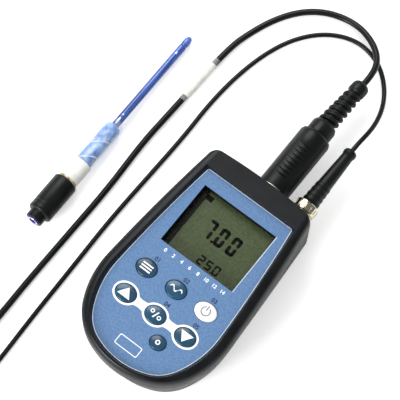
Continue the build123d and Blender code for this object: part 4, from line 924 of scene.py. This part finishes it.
@dataclass
class Keypad:
    """Seven oval keys that stand a little proud of the printed plate, and the print round them."""

    column: float = 21.5
    upper_y: float = -13.1
    middle_y: float = -32.2
    plate_z: float = 35.0
    dome_z: float = 36.2
    shoulder_z: float = 35.55
    flange_low_z: float = 30.3
    flange_top_z: float = 31.5
    pill_low_z: float = 24.6
    pill_radius: float = 2.5
    flange_reach: float = 1.2
    hole_gap: float = 0.3
    arrow: tuple[float, float, float] = (4.3, 2.6, 3.6)  # half base, middle to base, middle to point
    bar: tuple[float, float, float] = (3.6, 0.9, 1.8)  # half length, width, pitch
    wave: tuple[float, float, float] = (4.2, 1.3, 0.45)  # half length, swing, half width
    unit_rings: tuple[Spot, Spot] = ((-2.6, 1.0), (3.0, -0.6))
    unit_radii: tuple[float, float] = (1.3, 0.7)
    power_radii: tuple[float, float] = (3.0, 2.35)
    power_gap: tuple[float, float] = (115.0, 425.0)  # where the power sign's ring starts and ends
    dot_radius: float = 1.5
    caption_tall: float = 2.7
    caption_lifts: tuple[float, float, float] = (8.0, 8.4, 9.1)  # upper row, power key, middle row
    caption_columns: tuple[float, float, float, float, float] = (-19.5, 1.5, 21.5, 1.5, 22.5)
    scale_tall: float = 2.3
    scale_start: Spot = (-19.6, 2.2)
    scale_pitch: float = 5.9
    scale_marks: int = 8
    field_middle: Spot = (-0.9, -55.9)
    field_half: Spot = (7.9, 3.4)
    field_line: float = 0.5
    field_corners: tuple[float, float] = (1.0, 0.7)

    DOME_SHARES: ClassVar[tuple[float, ...]] = (0.93, 0.85, 0.7, 0.55, 0.4, 0.25, 0.12, 0.0)
    ink: float = 0.05

    def keys(self) -> list[Key]:
        """List the keys.

        Returns:
            The seven keys, row by row from the upper left one.
        """
        return [
            Key("data_key", -self.column, self.upper_y, mark=Mark.BARS),
            Key("measure_key", 0.0, self.upper_y, mark=Mark.WAVE),
            Key(
                "power_key",
                self.column,
                self.upper_y,
                14.2,
                11.1,
                SILICONE_WHITE,
                "key_white",
                Mark.POWER,
            ),
            Key("up_key", -self.column, self.middle_y, mark=Mark.UP),
            Key("unit_key", 0.0, self.middle_y, mark=Mark.UNITS),
            Key("down_key", self.column, self.middle_y, mark=Mark.DOWN),
            Key("cal_key", 11.3, -44.4, 10.2, 8.8),
        ]

    def cap(self, key: Key) -> bpy.types.Object:
        """Model one key with a domed top, a flange and the pill that meets the board.

        Args:
            key: The key.

        Returns:
            Its cap.
        """
        half_x, half_y = key.width / 2, key.height / 2
        rise = self.dome_z - self.shoulder_z
        flange = 1.0 + self.flange_reach / half_x
        profile = [
            (0.0, self.flange_low_z),
            (flange, self.flange_low_z),
            (flange, self.flange_top_z),
            (1.0, self.flange_top_z),
            (1.0, self.plate_z - 0.1),
            (0.99, self.plate_z + 0.2),
            (0.965, self.plate_z + 0.42),
            *((share, self.shoulder_z + rise * (1 - share**2)) for share in self.DOME_SHARES),
        ]
        body = lathe(profile, 56)
        bmesh.ops.scale(body, vec=(half_x, half_y, 1.0), verts=body.verts)
        pill = lathe(
            [
                (0.0, self.pill_low_z),
                (self.pill_radius, self.pill_low_z),
                (self.pill_radius, self.flange_low_z),
                (0.0, self.flange_low_z),
            ],
            32,
        )
        whole = moved(joined([body, pill]), Matrix.Translation((key.x * MM, key.y * MM, 0)))
        return enter(whole, key.name + "_cap", key.finish, key.name, (key.name,), 50)

    def crown(self, key: Key, x: float, y: float) -> float:
        """Work out how high a key's domed top is.

        Args:
            key: The key.
            x: Place on it, from its middle, in millimetres.
            y: Place on it, from its middle, in millimetres.

        Returns:
            The height in millimetres.
        """
        share = ((x / (key.width / 2)) ** 2 + (y / (key.height / 2)) ** 2) ** 0.5
        return self.shoulder_z + (self.dome_z - self.shoulder_z) * (1 - min(share, 1.0) ** 2)

    def mark_shapes(self, key: Key) -> list[bmesh.types.BMesh]:
        """Raise the plain printed marks of one key.

        Args:
            key: The key.

        Returns:
            Flat thin shapes round the key's middle, in metres.
        """
        low, high = 0.0, self.ink
        if key.mark in (Mark.UP, Mark.DOWN):
            half, foot, point = (value * (1 if key.mark is Mark.UP else -1) for value in self.arrow)
            return [flat_plate([(-half, -foot), (half, -foot), (0.0, point)], low, high)]
        if key.mark is Mark.BARS:
            half, wide, pitch = self.bar
            feet = (i * pitch - 0.4 for i in (-1, 0, 1))
            return [
                flat_plate([(-half, y), (half, y), (half, y + wide), (-half, y + wide)], low, high)
                for y in feet
            ]
        if key.mark is Mark.WAVE:
            half, swing, half_wide = self.wave
            steps, waves = 24, 1.5
            line = [
                (-half + 2 * half * i / steps, swing * sin(tau * waves * i / steps))
                for i in range(steps + 1)
            ]
            upper = [(x, y + half_wide) for x, y in line]
            lower = [(x, y - half_wide) for x, y in line]
            return [flat_plate(lower + upper[::-1], low, high)]
        if key.mark is Mark.UNITS:
            outer, inner = self.unit_radii
            ring, second = (
                ring_plate(oval(x, y, outer, outer, 24), oval(x, y, inner, inner, 24), low, high)
                for x, y in self.unit_rings
            )
            slash = flat_plate([(-0.9, -2.2), (-0.1, -2.2), (1.5, 2.2), (0.7, 2.2)], low, high)
            return [ring, slash, second]
        if key.mark is Mark.POWER:
            steps = 28
            start, end = self.power_gap
            arc = [radians(start + (end - start) * i / steps) for i in range(steps + 1)]
            outer, inner = (
                [(radius * cos(a), radius * sin(a)) for a in arc] for radius in self.power_radii
            )
            stroke = flat_plate([(-0.33, 0.4), (0.33, 0.4), (0.33, 3.9), (-0.33, 3.9)], low, high)
            return [flat_plate(outer + inner[::-1], low, high), stroke]
        return [flat_plate(oval(0, 0, self.dot_radius, self.dot_radius, 32), low, high)]

    def marks(self, key: Key) -> bpy.types.Object:
        """Lay one key's printed marks on its dome.

        Args:
            key: The key.

        Returns:
            The marks as one piece.
        """
        whole = joined(self.mark_shapes(key))
        bmesh.ops.subdivide_edges(whole, edges=whole.edges, cuts=2, use_grid_fill=True)
        for vert in whole.verts:
            x, y = vert.co.x / MM, vert.co.y / MM
            vert.co = Vector(((key.x + x) * MM, (key.y + y) * MM, self.crown(key, x, y) * MM + vert.co.z))
        finish = GREY_INK if key.mark is Mark.POWER else WHITE_INK
        return enter(whole, key.name + "_mark", finish, key.name)

    def link_outline(self) -> bmesh.types.BMesh:
        """Raise the white band that joins the three middle keys and narrows between them.

        Returns:
            The band, with a hole for each key.
        """
        ring_x, ring_y = 8.25, 6.9
        waist, flare = 2.6, 0.04
        steps = 40
        upper = []
        reach = self.column + ring_x
        for i in range(steps * 3 + 1):
            x = -reach + 2 * reach * i / (steps * 3)
            near = min(abs(x), abs(x - self.column), abs(x + self.column))
            oval_y = ring_y * max(1 - (near / ring_x) ** 2, 0.0) ** 0.5
            inside = abs(x) < self.column
            saddle = waist + flare * (self.column / 2 - near) ** 2
            saddle = saddle if near > ring_x * 0.7 else 0.0
            upper.append((x, max(oval_y, saddle) if inside else oval_y))
        lower = [(x, -y) for x, y in upper[1:-1]]
        outline = [(x, y + self.middle_y) for x, y in upper[::-1] + lower]
        holes = [
            oval(key.x, key.y, key.width / 2 + self.hole_gap, key.height / 2 + self.hole_gap)
            for key in self.keys()
            if key.y == self.middle_y
        ]
        return pierced_plate(outline, holes, self.plate_z, self.plate_z + self.ink)

    def print_digits(self) -> None:
        """Print plain key numbers, a plain scale under the window and an empty field."""
        low = self.plate_z
        upper, power, middle = self.caption_lifts
        rows = (
            self.upper_y + upper,
            self.upper_y + upper,
            self.upper_y + power,
            self.middle_y + middle,
            self.middle_y + middle,
        )
        numbers = [
            digits(f"{i:02d}", x, y, self.caption_tall, low, self.ink)
            for i, (x, y) in enumerate(zip(self.caption_columns, rows), start=1)
        ]
        enter(joined(numbers), "plate_navy_print", NAVY_INK)
        left, scale_y = self.scale_start
        scale = [
            digits(str(2 * i), left + self.scale_pitch * i, scale_y, self.scale_tall, low, self.ink)
            for i in range(self.scale_marks)
        ]
        half_x, half_y = self.field_half
        outer_corner, inner_corner = self.field_corners
        empty_field = ring_plate(
            rounded_field(*self.field_middle, half_x, half_y, outer_corner),
            rounded_field(
                *self.field_middle, half_x - self.field_line, half_y - self.field_line, inner_corner
            ),
            low,
            low + self.ink,
        )
        enter(joined([*scale, empty_field]), "plate_white_print", WHITE_INK)

    def build(self) -> None:
        """Model the keys, their marks and the plate's print."""
        for key in self.keys():
            self.cap(key)
            self.marks(key)
        enter(self.link_outline(), "key_link_print", WHITE_INK)
        self.print_digits()


@dataclass
class RoundPlug:
    """The multi-pin plug of the temperature lead, with the metal ring that meets the case."""

    x: float = 3.6
    z: float = 19.0
    relief_y: float = 126.4
    tilt: Point = (0.04, 0.994, -0.10)
    ribs: float = 6.0
    pitch: float = 4.3
    core: float = 4.2
    rib_radius: float = 1.75
    rib_reach: float = 4.75
    cap_radius: float = 5.5
    cap_length: float = 8.6
    slimming: float = 0.16  # how much slimmer the spiral is at its far end

    def relief(self) -> None:
        """Model the bend relief: a spiral rib wound on a core, with a plain end cap."""
        length = self.ribs * self.pitch
        end = length + self.cap_length
        core = lathe(
            [
                (0.0, -0.8),
                (self.core, -0.8),
                (self.core, length - 0.3),
                (self.cap_radius - 1.0, length + 0.2),
                (self.cap_radius - 0.3, length + 0.7),
                (self.cap_radius, length + 1.6),
                (self.cap_radius, end - 3.0),
                (self.cap_radius - 0.4, end - 1.6),
                (self.cap_radius - 1.3, end - 0.6),
                (2.8, end),
                (0.0, end),
            ]
        )
        rib = bmesh.new()
        loop = bmesh.ops.create_circle(rib, cap_ends=False, radius=self.rib_radius * MM, segments=14)
        bmesh.ops.rotate(rib, verts=loop["verts"], cent=(0, 0, 0), matrix=Matrix.Rotation(pi / 2, 3, "X"))
        bmesh.ops.scale(rib, verts=loop["verts"], vec=(1.0, 1.0, 0.86))
        bmesh.ops.translate(rib, verts=loop["verts"], vec=(self.rib_reach * MM, 0, 0.9 * MM))
        turns = self.ribs - 0.5
        steps = int(turns * 36)
        bmesh.ops.spin(
            rib,
            geom=rib.verts[:] + rib.edges[:],
            cent=(0, 0, 0),
            axis=(0, 0, 1),
            dvec=(0, 0, turns * self.pitch * MM / steps),
            angle=turns * tau,
            steps=steps,
        )
        bmesh.ops.holes_fill(rib, edges=rib.edges, sides=0)
        for vert in rib.verts:
            shrink = 1.0 - self.slimming * vert.co.z / (length * MM)
            vert.co.x *= shrink
            vert.co.y *= shrink
        whole = moved(joined([core, rib]), axis_frame((self.x, self.relief_y, self.z), self.tilt))
        enter(whole, "plug_relief_spiral", RUBBER_BLACK, replaces=("plug_relief",))

    def build(self) -> None:
        """Model the plug and dress its inner nodes."""
        smooth_copy("plug_body", POLYAMIDE, edge_mm=0.25, sharp=32)
        smooth_copy("plug_collar", POLYAMIDE, edge_mm=0.2)
        smooth_copy("plug_barrel", SATIN_NICKEL, edge_mm=0.2)
        smooth_copy("round_socket", SATIN_NICKEL, edge_mm=0.15)
        nodes = bpy.data.objects
        dress(nodes["plug_insert"], NATURAL_PLASTIC)
        dress(nodes["socket_insert"], NATURAL_PLASTIC)
        dress(nodes["plug_pins"], GOLD)
        self.relief()


@dataclass
class BayonetPlug:
    """The bayonet plug of the electrode lead, with its turning ring and tapered bend relief."""

    def build(self) -> None:
        """Stand smooth copies in for the plug's nodes."""
        smooth_copy("bayonet_ring", NICKEL, "bayonet_ring", edge_mm=0.2)
        smooth_copy("bayonet_socket", NICKEL, edge_mm=0.15)
        smooth_copy("bayonet_body", NICKEL, edge_mm=0.1)
        smooth_copy("bayonet_boot", RUBBER_BLACK, sharp=60)
        nodes = bpy.data.objects
        dress(nodes["jack_insulator"], NATURAL_PLASTIC)
        dress(nodes["jack_contact"], GOLD)
        dress(nodes["bayonet_pin"], GOLD)


@dataclass
class Electrode:
    """The pH electrode that lies beside the meter."""

    x: float = -97.8
    start_y: float = -25.2
    head_radius: float = 7.75
    tube_radius: float = 6.0
    head_length: float = 31.5
    tube_shoulder: float = 77.0
    gel_start: float = 34.0
    gel_radii: tuple[float, float] = (3.66, 5.02)
    turn_lean: float = radians(38)  # how far the reference wire's turns lean
    turn_radius: float = 0.34
    turn_places: tuple[Spot, Spot] = ((50.0, 5.05), (62.0, 5.0))  # place along the body, radius
    turn_limit: float = 5.06  # the glass's inside, which the turns press against
    bubble_lift: float = 2.25
    bubble_places: tuple[Point, ...] = (  # place along the stem, half length, half width
        (80.6, 3.2, 0.75),
        (85.6, 0.6, 0.6),
        (136.4, 0.55, 0.7),
        (137.4, 0.5, 0.5),
    )

    def along(self) -> Vector:
        """Return the direction from the contact end to the tip."""
        slope = (self.head_radius - self.tube_radius) / (self.tube_shoulder - self.head_length)
        return Vector((0, 1, -slope)).normalized()

    def start(self) -> Point:
        """Return the middle of the contact end in millimetres."""
        slope = (self.head_radius - self.tube_radius) / (self.tube_shoulder - self.head_length)
        return (self.x, self.start_y, self.head_radius + 0.02 + slope * self.head_length)

    def ring(self, name: str, finish: Finish, slot: str, sizes: tuple[float, float, float, float]) -> None:
        """Model one plain ring with rounded rims on the electrode's axis.

        Args:
            name: Name of the piece.
            finish: Its finish.
            slot: Name of the record's material slot; not used.
            sizes: Inner radius, outer radius, start and end in millimetres.
        """
        inner, outer, low, high = sizes
        soft = min(0.15, (outer - inner) / 3)
        profile = [
            (inner, low),
            (outer - soft, low),
            (outer, low + soft),
            (outer, high - soft),
            (outer - soft, high),
            (inner, high),
        ]
        enter(moved(lathe(profile), axis_frame(self.start(), tuple(self.along()))), name, finish)

    def gel(self) -> None:
        """Model the blue gel that fills the body round its inner tube."""
        inner, outer = self.gel_radii
        profile = [
            (inner, self.gel_start),
            (outer, self.gel_start),
            (outer, self.tube_shoulder - 1.5),
            (inner + 0.5, self.tube_shoulder - 0.4),
            (inner, self.tube_shoulder - 0.6),
        ]
        enter(
            moved(lathe(profile), axis_frame(self.start(), tuple(self.along()))),
            "reference_gel",
            GEL,
        )

    def bubbles(self) -> None:
        """Model the pale bubbles under the stem's glass."""
        beads = []
        for place, length, radius in self.bubble_places:
            bead = bmesh.new()
            bmesh.ops.create_uvsphere(bead, u_segments=16, v_segments=10, radius=MM)
            bmesh.ops.scale(bead, verts=bead.verts, vec=(0.35, radius, length))
            bmesh.ops.translate(bead, verts=bead.verts, vec=(0, 0, place * MM))
            beads.append(bead)
        whole = joined(beads)
        lift = Vector((0.0, 0.0, self.bubble_lift * MM))
        matrix = Matrix.Translation(lift) @ axis_frame(self.start(), tuple(self.along()))
        turn = Matrix.Rotation(pi / 2, 4, "Z")
        enter(moved(whole, matrix @ turn), "stem_bubbles", WHITE_INK)

    def reference_coil(self) -> None:
        """Model the two pale turns of the reference wire that show through the glass."""
        rings = []
        for place, radius in self.turn_places:
            loop = bmesh.new()
            made = bmesh.ops.create_circle(loop, cap_ends=False, radius=self.turn_radius * MM, segments=10)
            bmesh.ops.rotate(
                loop, verts=made["verts"], cent=(0, 0, 0), matrix=Matrix.Rotation(pi / 2, 3, "X")
            )
            bmesh.ops.translate(loop, verts=made["verts"], vec=(radius * MM, 0, 0))
            bmesh.ops.spin(
                loop,
                geom=loop.verts[:] + loop.edges[:],
                cent=(0, 0, 0),
                axis=(0, 0, 1),
                angle=tau,
                steps=64,
                use_merge=True,
            )
            lean = Matrix.Translation((0, 0, place * MM)) @ Matrix.Rotation(self.turn_lean, 4, "Y")
            drawn_out = Matrix.Diagonal((1 / cos(self.turn_lean), 1.0, 1.0, 1.0))
            rings.append(moved(loop, lean @ drawn_out))
        whole = joined(rings)
        for vert in whole.verts:
            reach = Vector((vert.co.x, vert.co.y)).length
            limit = self.turn_limit * MM
            if reach > limit:
                vert.co.x *= limit / reach
                vert.co.y *= limit / reach
        enter(
            moved(whole, axis_frame(self.start(), tuple(self.along()))),
            "reference_turns",
            WHITE_INK,
        )

    def build(self) -> None:
        """Model the head, the glass body with what shows through it, the stem and the tip."""
        smooth_copy("electrode_head", POLYAMIDE, edge_mm=0.25)
        smooth_copy("head_insulator", BLUE_INSULATOR, edge_mm=0.1)
        self.ring("contact_collar", NICKEL, "nickel", (2.45, 3.3, -0.1, 0.5))
        smooth_copy("electrode_tube", BLUE_GLASS_WITH_PAINTED_HIGHLIGHTS, sharp=50)
        smooth_copy("reference_tube", INNER_GLASS, sharp=50)
        smooth_copy("electrode_stem", STEM_GLASS, sharp=50)
        smooth_copy("electrode_tip", TIP_GLASS, sharp=60)
        smooth_copy("electrode_label", PAPER_SLEEVE, edge_mm=0.05)
        dress(bpy.data.objects["head_contact"], GOLD)
        self.ring("amber_seal", SEAL, "gold", (6.32, 6.36, 31.9, 33.0))
        self.gel()
        self.reference_coil()
        self.bubbles()


@dataclass
class Lead:
    """One free lead: its route, its wound length and what is on its far end."""

    name: str
    diameter: float
    length: float
    route: list[Point]
    coil_middle: tuple[float, float]
    coil_turns: list[Point]
    tail: list[Point]
    replaces: tuple[str, ...]
    far_end: str
    with_pieces: tuple[str, ...]
    finish: Finish = JACKET

    def wound(self) -> list[Point]:
        """Place the coil's turns, whose entries give angle in degrees, radius and height.

        Returns:
            Its points, from where the lead enters it to where it leaves.
        """
        middle_x, middle_y = self.coil_middle
        return [
            (middle_x + radius * cos(radians(angle)), middle_y + radius * sin(radians(angle)), height)
            for angle, radius, height in self.coil_turns
        ]

    def build(self) -> bpy.types.Object:
        """Draw the lead as one smooth spline along its whole length.

        Returns:
            The lead's curve.
        """
        points = self.route + self.wound() + self.tail
        curve = bpy.data.curves.new(self.name, "CURVE")
        curve.dimensions = "3D"
        curve.bevel_depth = self.diameter / 2 * MM
        curve.bevel_resolution = 5
        curve.use_fill_caps = True
        curve.resolution_u = 6
        spline = curve.splines.new("NURBS")
        spline.points.add(len(points) - 1)
        for place, point in zip(spline.points, points):
            place.co = (point[0] * MM, point[1] * MM, point[2] * MM, 1.0)
        spline.order_u = 3
        spline.use_endpoint_u = True
        piece = bpy.data.objects.new(self.name, curve)
        bpy.context.scene.collection.objects.link(piece)
        curve.materials.append(self.finish.material())
        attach(piece, METER)
        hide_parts(*self.replaces)
        LOG.info("%s: %d route points on %s", self.name, len(points), METER)
        return piece


def winding(
    start: float, finish: float, radii: Sequence[float], heights: Sequence[float], per_turn: int = 14
) -> list[Point]:
    """Work out a coil's turns.

    Args:
        start: Angle of the first point in degrees.
        finish: Angle of the last point in degrees, less than start for a clockwise coil.
        radii: Radius of each turn in order, in millimetres.
        heights: Height of each turn in order, in millimetres.
        per_turn: Points for each turn.

    Returns:
        (angle, radius, height) of each point.
    """
    step = 360 / per_turn
    count = int(abs(finish - start) / step)
    points = []
    for i in range(count + 1):
        turned = i * step
        at = min(turned / 360, len(radii) - 1)
        low = int(at)
        high = min(low + 1, len(radii) - 1)
        share = max((at - low - 0.7) / 0.3, 0.0)
        radius = radii[low] + (radii[high] - radii[low]) * share
        height = heights[low] + (heights[high] - heights[low]) * share
        points.append((start - turned, radius, height))
    return points


@dataclass
class Leads:
    """The temperature lead and the electrode lead, with their ties, marker and far ends."""

    marked_low: Point = (-77.9, 76.0, 2.7)
    marked_high: Point = (-75.8, 134.0, 2.7)
    handle_radius: float = 4.5
    probe_radius: float = 1.5
    probe_length: float = 70.0
    handle_length: float = 38.0
    handle_start: Spot = (-98.0, -180.0)

    def probe_lead(self) -> Lead:
        """Route the thick lead, from the round plug to the temperature probe.

        Returns:
            The lead.
        """
        plug = RoundPlug()
        along = Vector(plug.tilt).normalized()
        relief_length = plug.ribs * plug.pitch + plug.cap_length
        out = Vector((plug.x, plug.relief_y, plug.z)) + along * relief_length
        slope = (self.handle_radius - self.probe_radius) / self.probe_length
        probe_along = Vector((1, 0, -slope)).normalized()
        handle = Vector((*self.handle_start, self.handle_radius + slope * self.handle_length))
        return Lead(
            name="probe_lead",
            diameter=4.0,
            length=1.0,
            route=[
                tuple(out),
                tuple(out + along * 6.4),
                (3.6, 175.6, 12.6),
                (0.2, 181.4, 10.8),
                (-5.2, 186.4, 8.8),
                (-12.6, 190.6, 6.2),
                (-21.6, 193.4, 3.6),
                (-32.4, 193.2, 2.1),
                (-44.6, 189.0, 2.0),
                (-56.2, 180.0, 2.0),
                (-65.4, 166.4, 2.0),
                (-71.6, 150.6, 2.0),
                self.marked_high,
                self.marked_low,
                (-79.0, 55.0, 2.0),
                (-77.2, 20.0, 2.0),
                (-77.8, -18.0, 2.0),
                (-78.4, -54.0, 2.0),
                (-77.9, -80.0, 2.2),
            ],
            coil_middle=(-104.0, -98.0),
            coil_turns=winding(0, -1170, (26.1, 22.0, 22.1, 26.0), (2.8, 2.9, 6.8, 7.0)),
            tail=[
                (-113.0, -125.4, 5.6),
                (-121.4, -130.6, 3.6),
                (-127.0, -139.6, 2.2),
                (-128.2, -151.0, 2.0),
                (-125.0, -163.0, 2.2),
                (-117.6, -173.0, 3.6),
                tuple(handle - probe_along * 9.0),
                tuple(handle),
            ],
            replaces=("probe_cable", "probe_cable_coil", "probe_cable_tail"),
            far_end="tool",
            with_pieces=(
                "probe_handle_skin",
                "probe_coil_ties_skin",
                "cable_label_skin",
                "label_shrink_tube",
            ),
        )

    def electrode_lead(self) -> Lead:
        """Route the thin lead, from the bayonet plug to the screw plug.

        Returns:
            The lead.
        """
        return Lead(
            name="electrode_lead",
            diameter=2.9,
            length=1.0,
            route=[
                (25.7, 121.5, 19.0),
                (25.7, 127.9, 19.0),
                (26.0, 136.2, 16.6),
                (25.2, 145.0, 12.4),
                (22.9, 154.4, 7.6),
                (19.0, 163.6, 3.7),
                (13.2, 172.2, 1.8),
                (5.4, 179.4, 1.45),
                (-4.4, 184.4, 1.45),
                (-16.0, 185.9, 1.45),
                (-28.0, 182.6, 1.45),
                (-39.6, 174.6, 1.45),
                (-49.6, 161.6, 1.45),
                (-56.6, 144.6, 1.45),
                (-61.0, 124.0, 1.45),
                (-63.0, 100.0, 1.45),
                (-62.2, 73.0, 1.45),
                (-63.2, 40.0, 1.45),
                (-64.2, 4.0, 1.45),
                (-63.2, -34.0, 1.45),
                (-62.6, -70.0, 1.45),
                (-61.3, -100.0, 1.45),
                (-60.9, -125.0, 1.7),
            ],
            coil_middle=(-80.0, -146.0),
            coil_turns=winding(
                0, -1800, (18.9, 15.9, 15.9, 18.9, 18.8), (2.25, 2.3, 5.2, 5.2, 8.1)
            ),
            tail=[
                (-60.4, -151.6, 7.6),
                (-57.4, -157.4, 6.9),
                (-52.0, -161.8, 7.1),
                (-46.0, -164.0, 8.0),
                (-38.0, -164.0, 8.0),
            ],
            replaces=("electrode_cable", "electrode_cable_coil", "electrode_cable_tail"),
            far_end="plug",
            with_pieces=(
                "screw_plug_boot_skin",
                "screw_plug_body_skin",
                "screw_plug_nut_skin",
                "electrode_coil_ties_skin",
            ),
        )

    def shrink_tube(self) -> None:
        """Model the clear tube that is shrunk over the marker sleeve and grips the lead."""
        low, high = Vector(self.marked_low), Vector(self.marked_high)
        along = (high - low).normalized()
        profile = [
            (2.02, 14.6),
            (2.3, 14.6),
            (2.36, 16.8),
            (2.62, 18.2),
            (2.62, 43.8),
            (2.36, 45.2),
            (2.3, 48.2),
            (2.02, 48.2),
            (2.06, 45.4),
            (2.48, 43.9),
            (2.48, 18.1),
            (2.06, 16.6),
        ]
        enter(
            moved(lathe(profile, 40), axis_frame(tuple(low), tuple(along))),
            "label_shrink_tube",
            CLEAR_SHRINK,
        )

    def build(self) -> None:
        """Model what is on the leads, then the leads."""
        smooth_copy("cable_label", PAPER_SLEEVE)
        self.shrink_tube()
        smooth_copy("probe_coil_ties", RUBBER_BLACK)
        smooth_copy("electrode_coil_ties", RUBBER_BLACK)
        smooth_copy("probe_handle", POLYAMIDE, edge_mm=0.2)
        smooth_copy("probe_stem", STEEL)
        smooth_copy("screw_plug_boot", RUBBER_BLACK, sharp=50)
        smooth_copy("screw_plug_body", NICKEL, edge_mm=0.1)
        smooth_copy("screw_plug_nut", POLYAMIDE, "screw_plug_nut", edge_mm=0.15)
        for lead in (self.probe_lead(), self.electrode_lead()):
            lead.build()


@dataclass(frozen=True)
class Lamp:
    """One soft square lamp that points at the meter's foot; its place and size are in metres."""

    name: str
    place: Point
    size: float
    watts: float


@dataclass
class Studio:
    """The camera, the pale floor and the soft lamps."""

    azimuth: float = 37.94
    elevation: float = 70.62
    scale: float = 1.7365  # pixels for each millimetre at the window's middle
    distance: float = 1600.0
    window: Point = (0.0, 26.6, 35.0)
    shift_right: float = -10.72
    shift_up: float = 21.84
    floor_colour: str = "FFFFFF"
    floor_lift: float = 0.32  # light that the camera alone sees the floor give off
    room_level: float = 0.8  # light from all round
    mirror_loss: float = 0.78  # share of it that polished surfaces don't mirror
    frame_pixels: float = 400.0
    sensor_mm: float = 36.0
    floor_half: float = 6.0  # metres
    floor_drop: float = 0.0002  # metres below what rests on it
    lamps: tuple[Lamp, Lamp] = (
        Lamp("key_lamp", (-0.7, 0.65, 1.0), 0.8, 9.0),
        Lamp("low_lamp", (-0.35, -1.0, 0.5), 0.5, 11.0),
    )

    def axes(self) -> tuple[Vector, Vector, Vector]:
        """Work out how the camera is turned.

        Returns:
            The view's right, up and back directions.
        """
        turn, rise = radians(self.azimuth), radians(self.elevation)
        right = Vector((cos(turn), sin(turn), 0))
        forward_flat = Vector((-sin(turn), cos(turn), 0))
        back = -forward_flat * cos(rise) + Vector((0, 0, sin(rise)))
        return right, back.cross(right), back

    def camera(self) -> None:
        """Place the camera where the photograph was taken from."""
        right, up, back = self.axes()
        aim = Vector(self.window) + right * self.shift_right + up * self.shift_up
        data = bpy.data.cameras.new("camera")
        data.sensor_width = self.sensor_mm
        data.lens = self.scale * self.distance * data.sensor_width / self.frame_pixels
        data.clip_end = 20.0
        camera = bpy.data.objects.new("camera", data)
        bpy.context.scene.collection.objects.link(camera)
        camera.matrix_world = Matrix.Translation((aim + back * self.distance) * MM) @ Matrix(
            (right, up, back)
        ).transposed().to_4x4()
        bpy.context.scene.camera = camera

    def hang(self, lamp: Lamp) -> None:
        """Hang one lamp.

        Args:
            lamp: The lamp.
        """
        data = bpy.data.lights.new(lamp.name, "AREA")
        data.shape = "SQUARE"
        data.size = lamp.size
        data.energy = lamp.watts
        hung = bpy.data.objects.new(lamp.name, data)
        bpy.context.scene.collection.objects.link(hung)
        turn = (-Vector(lamp.place)).to_track_quat("-Z", "Y").to_matrix().to_4x4()
        hung.matrix_world = Matrix.Translation(lamp.place) @ turn

    def floor(self) -> None:
        """Lay a wide pale floor that is white to the camera and keeps the object's shadow."""
        bm = bmesh.new()
        bmesh.ops.create_grid(bm, x_segments=1, y_segments=1, size=self.floor_half)
        mesh = bpy.data.meshes.new("floor")
        bm.to_mesh(mesh)
        bm.free()
        floor = bpy.data.objects.new("floor", mesh)
        floor.location = (0, 0, -self.floor_drop)
        bpy.context.scene.collection.objects.link(floor)
        made = bpy.data.materials.new("paper_floor")
        made.use_nodes = True
        tree = made.node_tree
        tree.nodes.clear()
        paper = add_node(
            tree, "ShaderNodeBsdfDiffuse", Color=linear(self.floor_colour)
        ).outputs["BSDF"]
        rays = add_node(tree, "ShaderNodeLightPath").outputs
        lift = add_node(tree, "ShaderNodeMath", operation="MULTIPLY")
        tree.links.new(rays["Is Camera Ray"], lift.inputs[0])
        lift.inputs[1].default_value = self.floor_lift
        lit = add_node(tree, "ShaderNodeEmission", Strength=lift.outputs[0]).outputs["Emission"]
        both = add_node(tree, "ShaderNodeAddShader")
        tree.links.new(paper, both.inputs[0])
        tree.links.new(lit, both.inputs[1])
        add_node(tree, "ShaderNodeOutputMaterial", Surface=both.outputs["Shader"])
        mesh.materials.append(made)

    def world(self) -> None:
        """Give the room an even white light."""
        world = bpy.data.worlds.new("room")
        bpy.context.scene.world = world
        world.use_nodes = True
        tree = world.node_tree
        tree.nodes.clear()
        rays = add_node(tree, "ShaderNodeLightPath").outputs
        unlit = add_node(tree, "ShaderNodeMath", operation="MULTIPLY")
        tree.links.new(rays["Is Glossy Ray"], unlit.inputs[0])
        unlit.inputs[1].default_value = -self.room_level * self.mirror_loss
        seen = add_node(tree, "ShaderNodeMath", operation="MULTIPLY_ADD")
        tree.links.new(rays["Is Camera Ray"], seen.inputs[0])
        seen.inputs[1].default_value = 1.0 - self.room_level
        seen.inputs[2].default_value = self.room_level
        level = add_node(tree, "ShaderNodeMath", operation="ADD")
        tree.links.new(unlit.outputs[0], level.inputs[0])
        tree.links.new(seen.outputs[0], level.inputs[1])
        room = add_node(
            tree, "ShaderNodeBackground", Color=(1.0, 1.0, 1.0, 1.0), Strength=level.outputs[0]
        )
        add_node(tree, "ShaderNodeOutputWorld", Surface=room.outputs["Background"])

    def build(self) -> None:
        """Set up the view, the floor and the light."""
        bpy.context.scene.view_settings.view_transform = "Standard"
        self.camera()
        self.floor()
        self.world()
        for lamp in self.lamps:
            self.hang(lamp)


def main() -> None:
    """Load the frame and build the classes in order."""
    logging.basicConfig(level=logging.INFO, format="%(name)s: %(message)s")
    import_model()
    for part in (Studio(), Leads(), Case(), Display(), Keypad(), RoundPlug(), BayonetPlug(), Electrode()):
        part.build()
        LOG.info("%s is built", type(part).__name__)


if __name__ == "__main__":
    main()
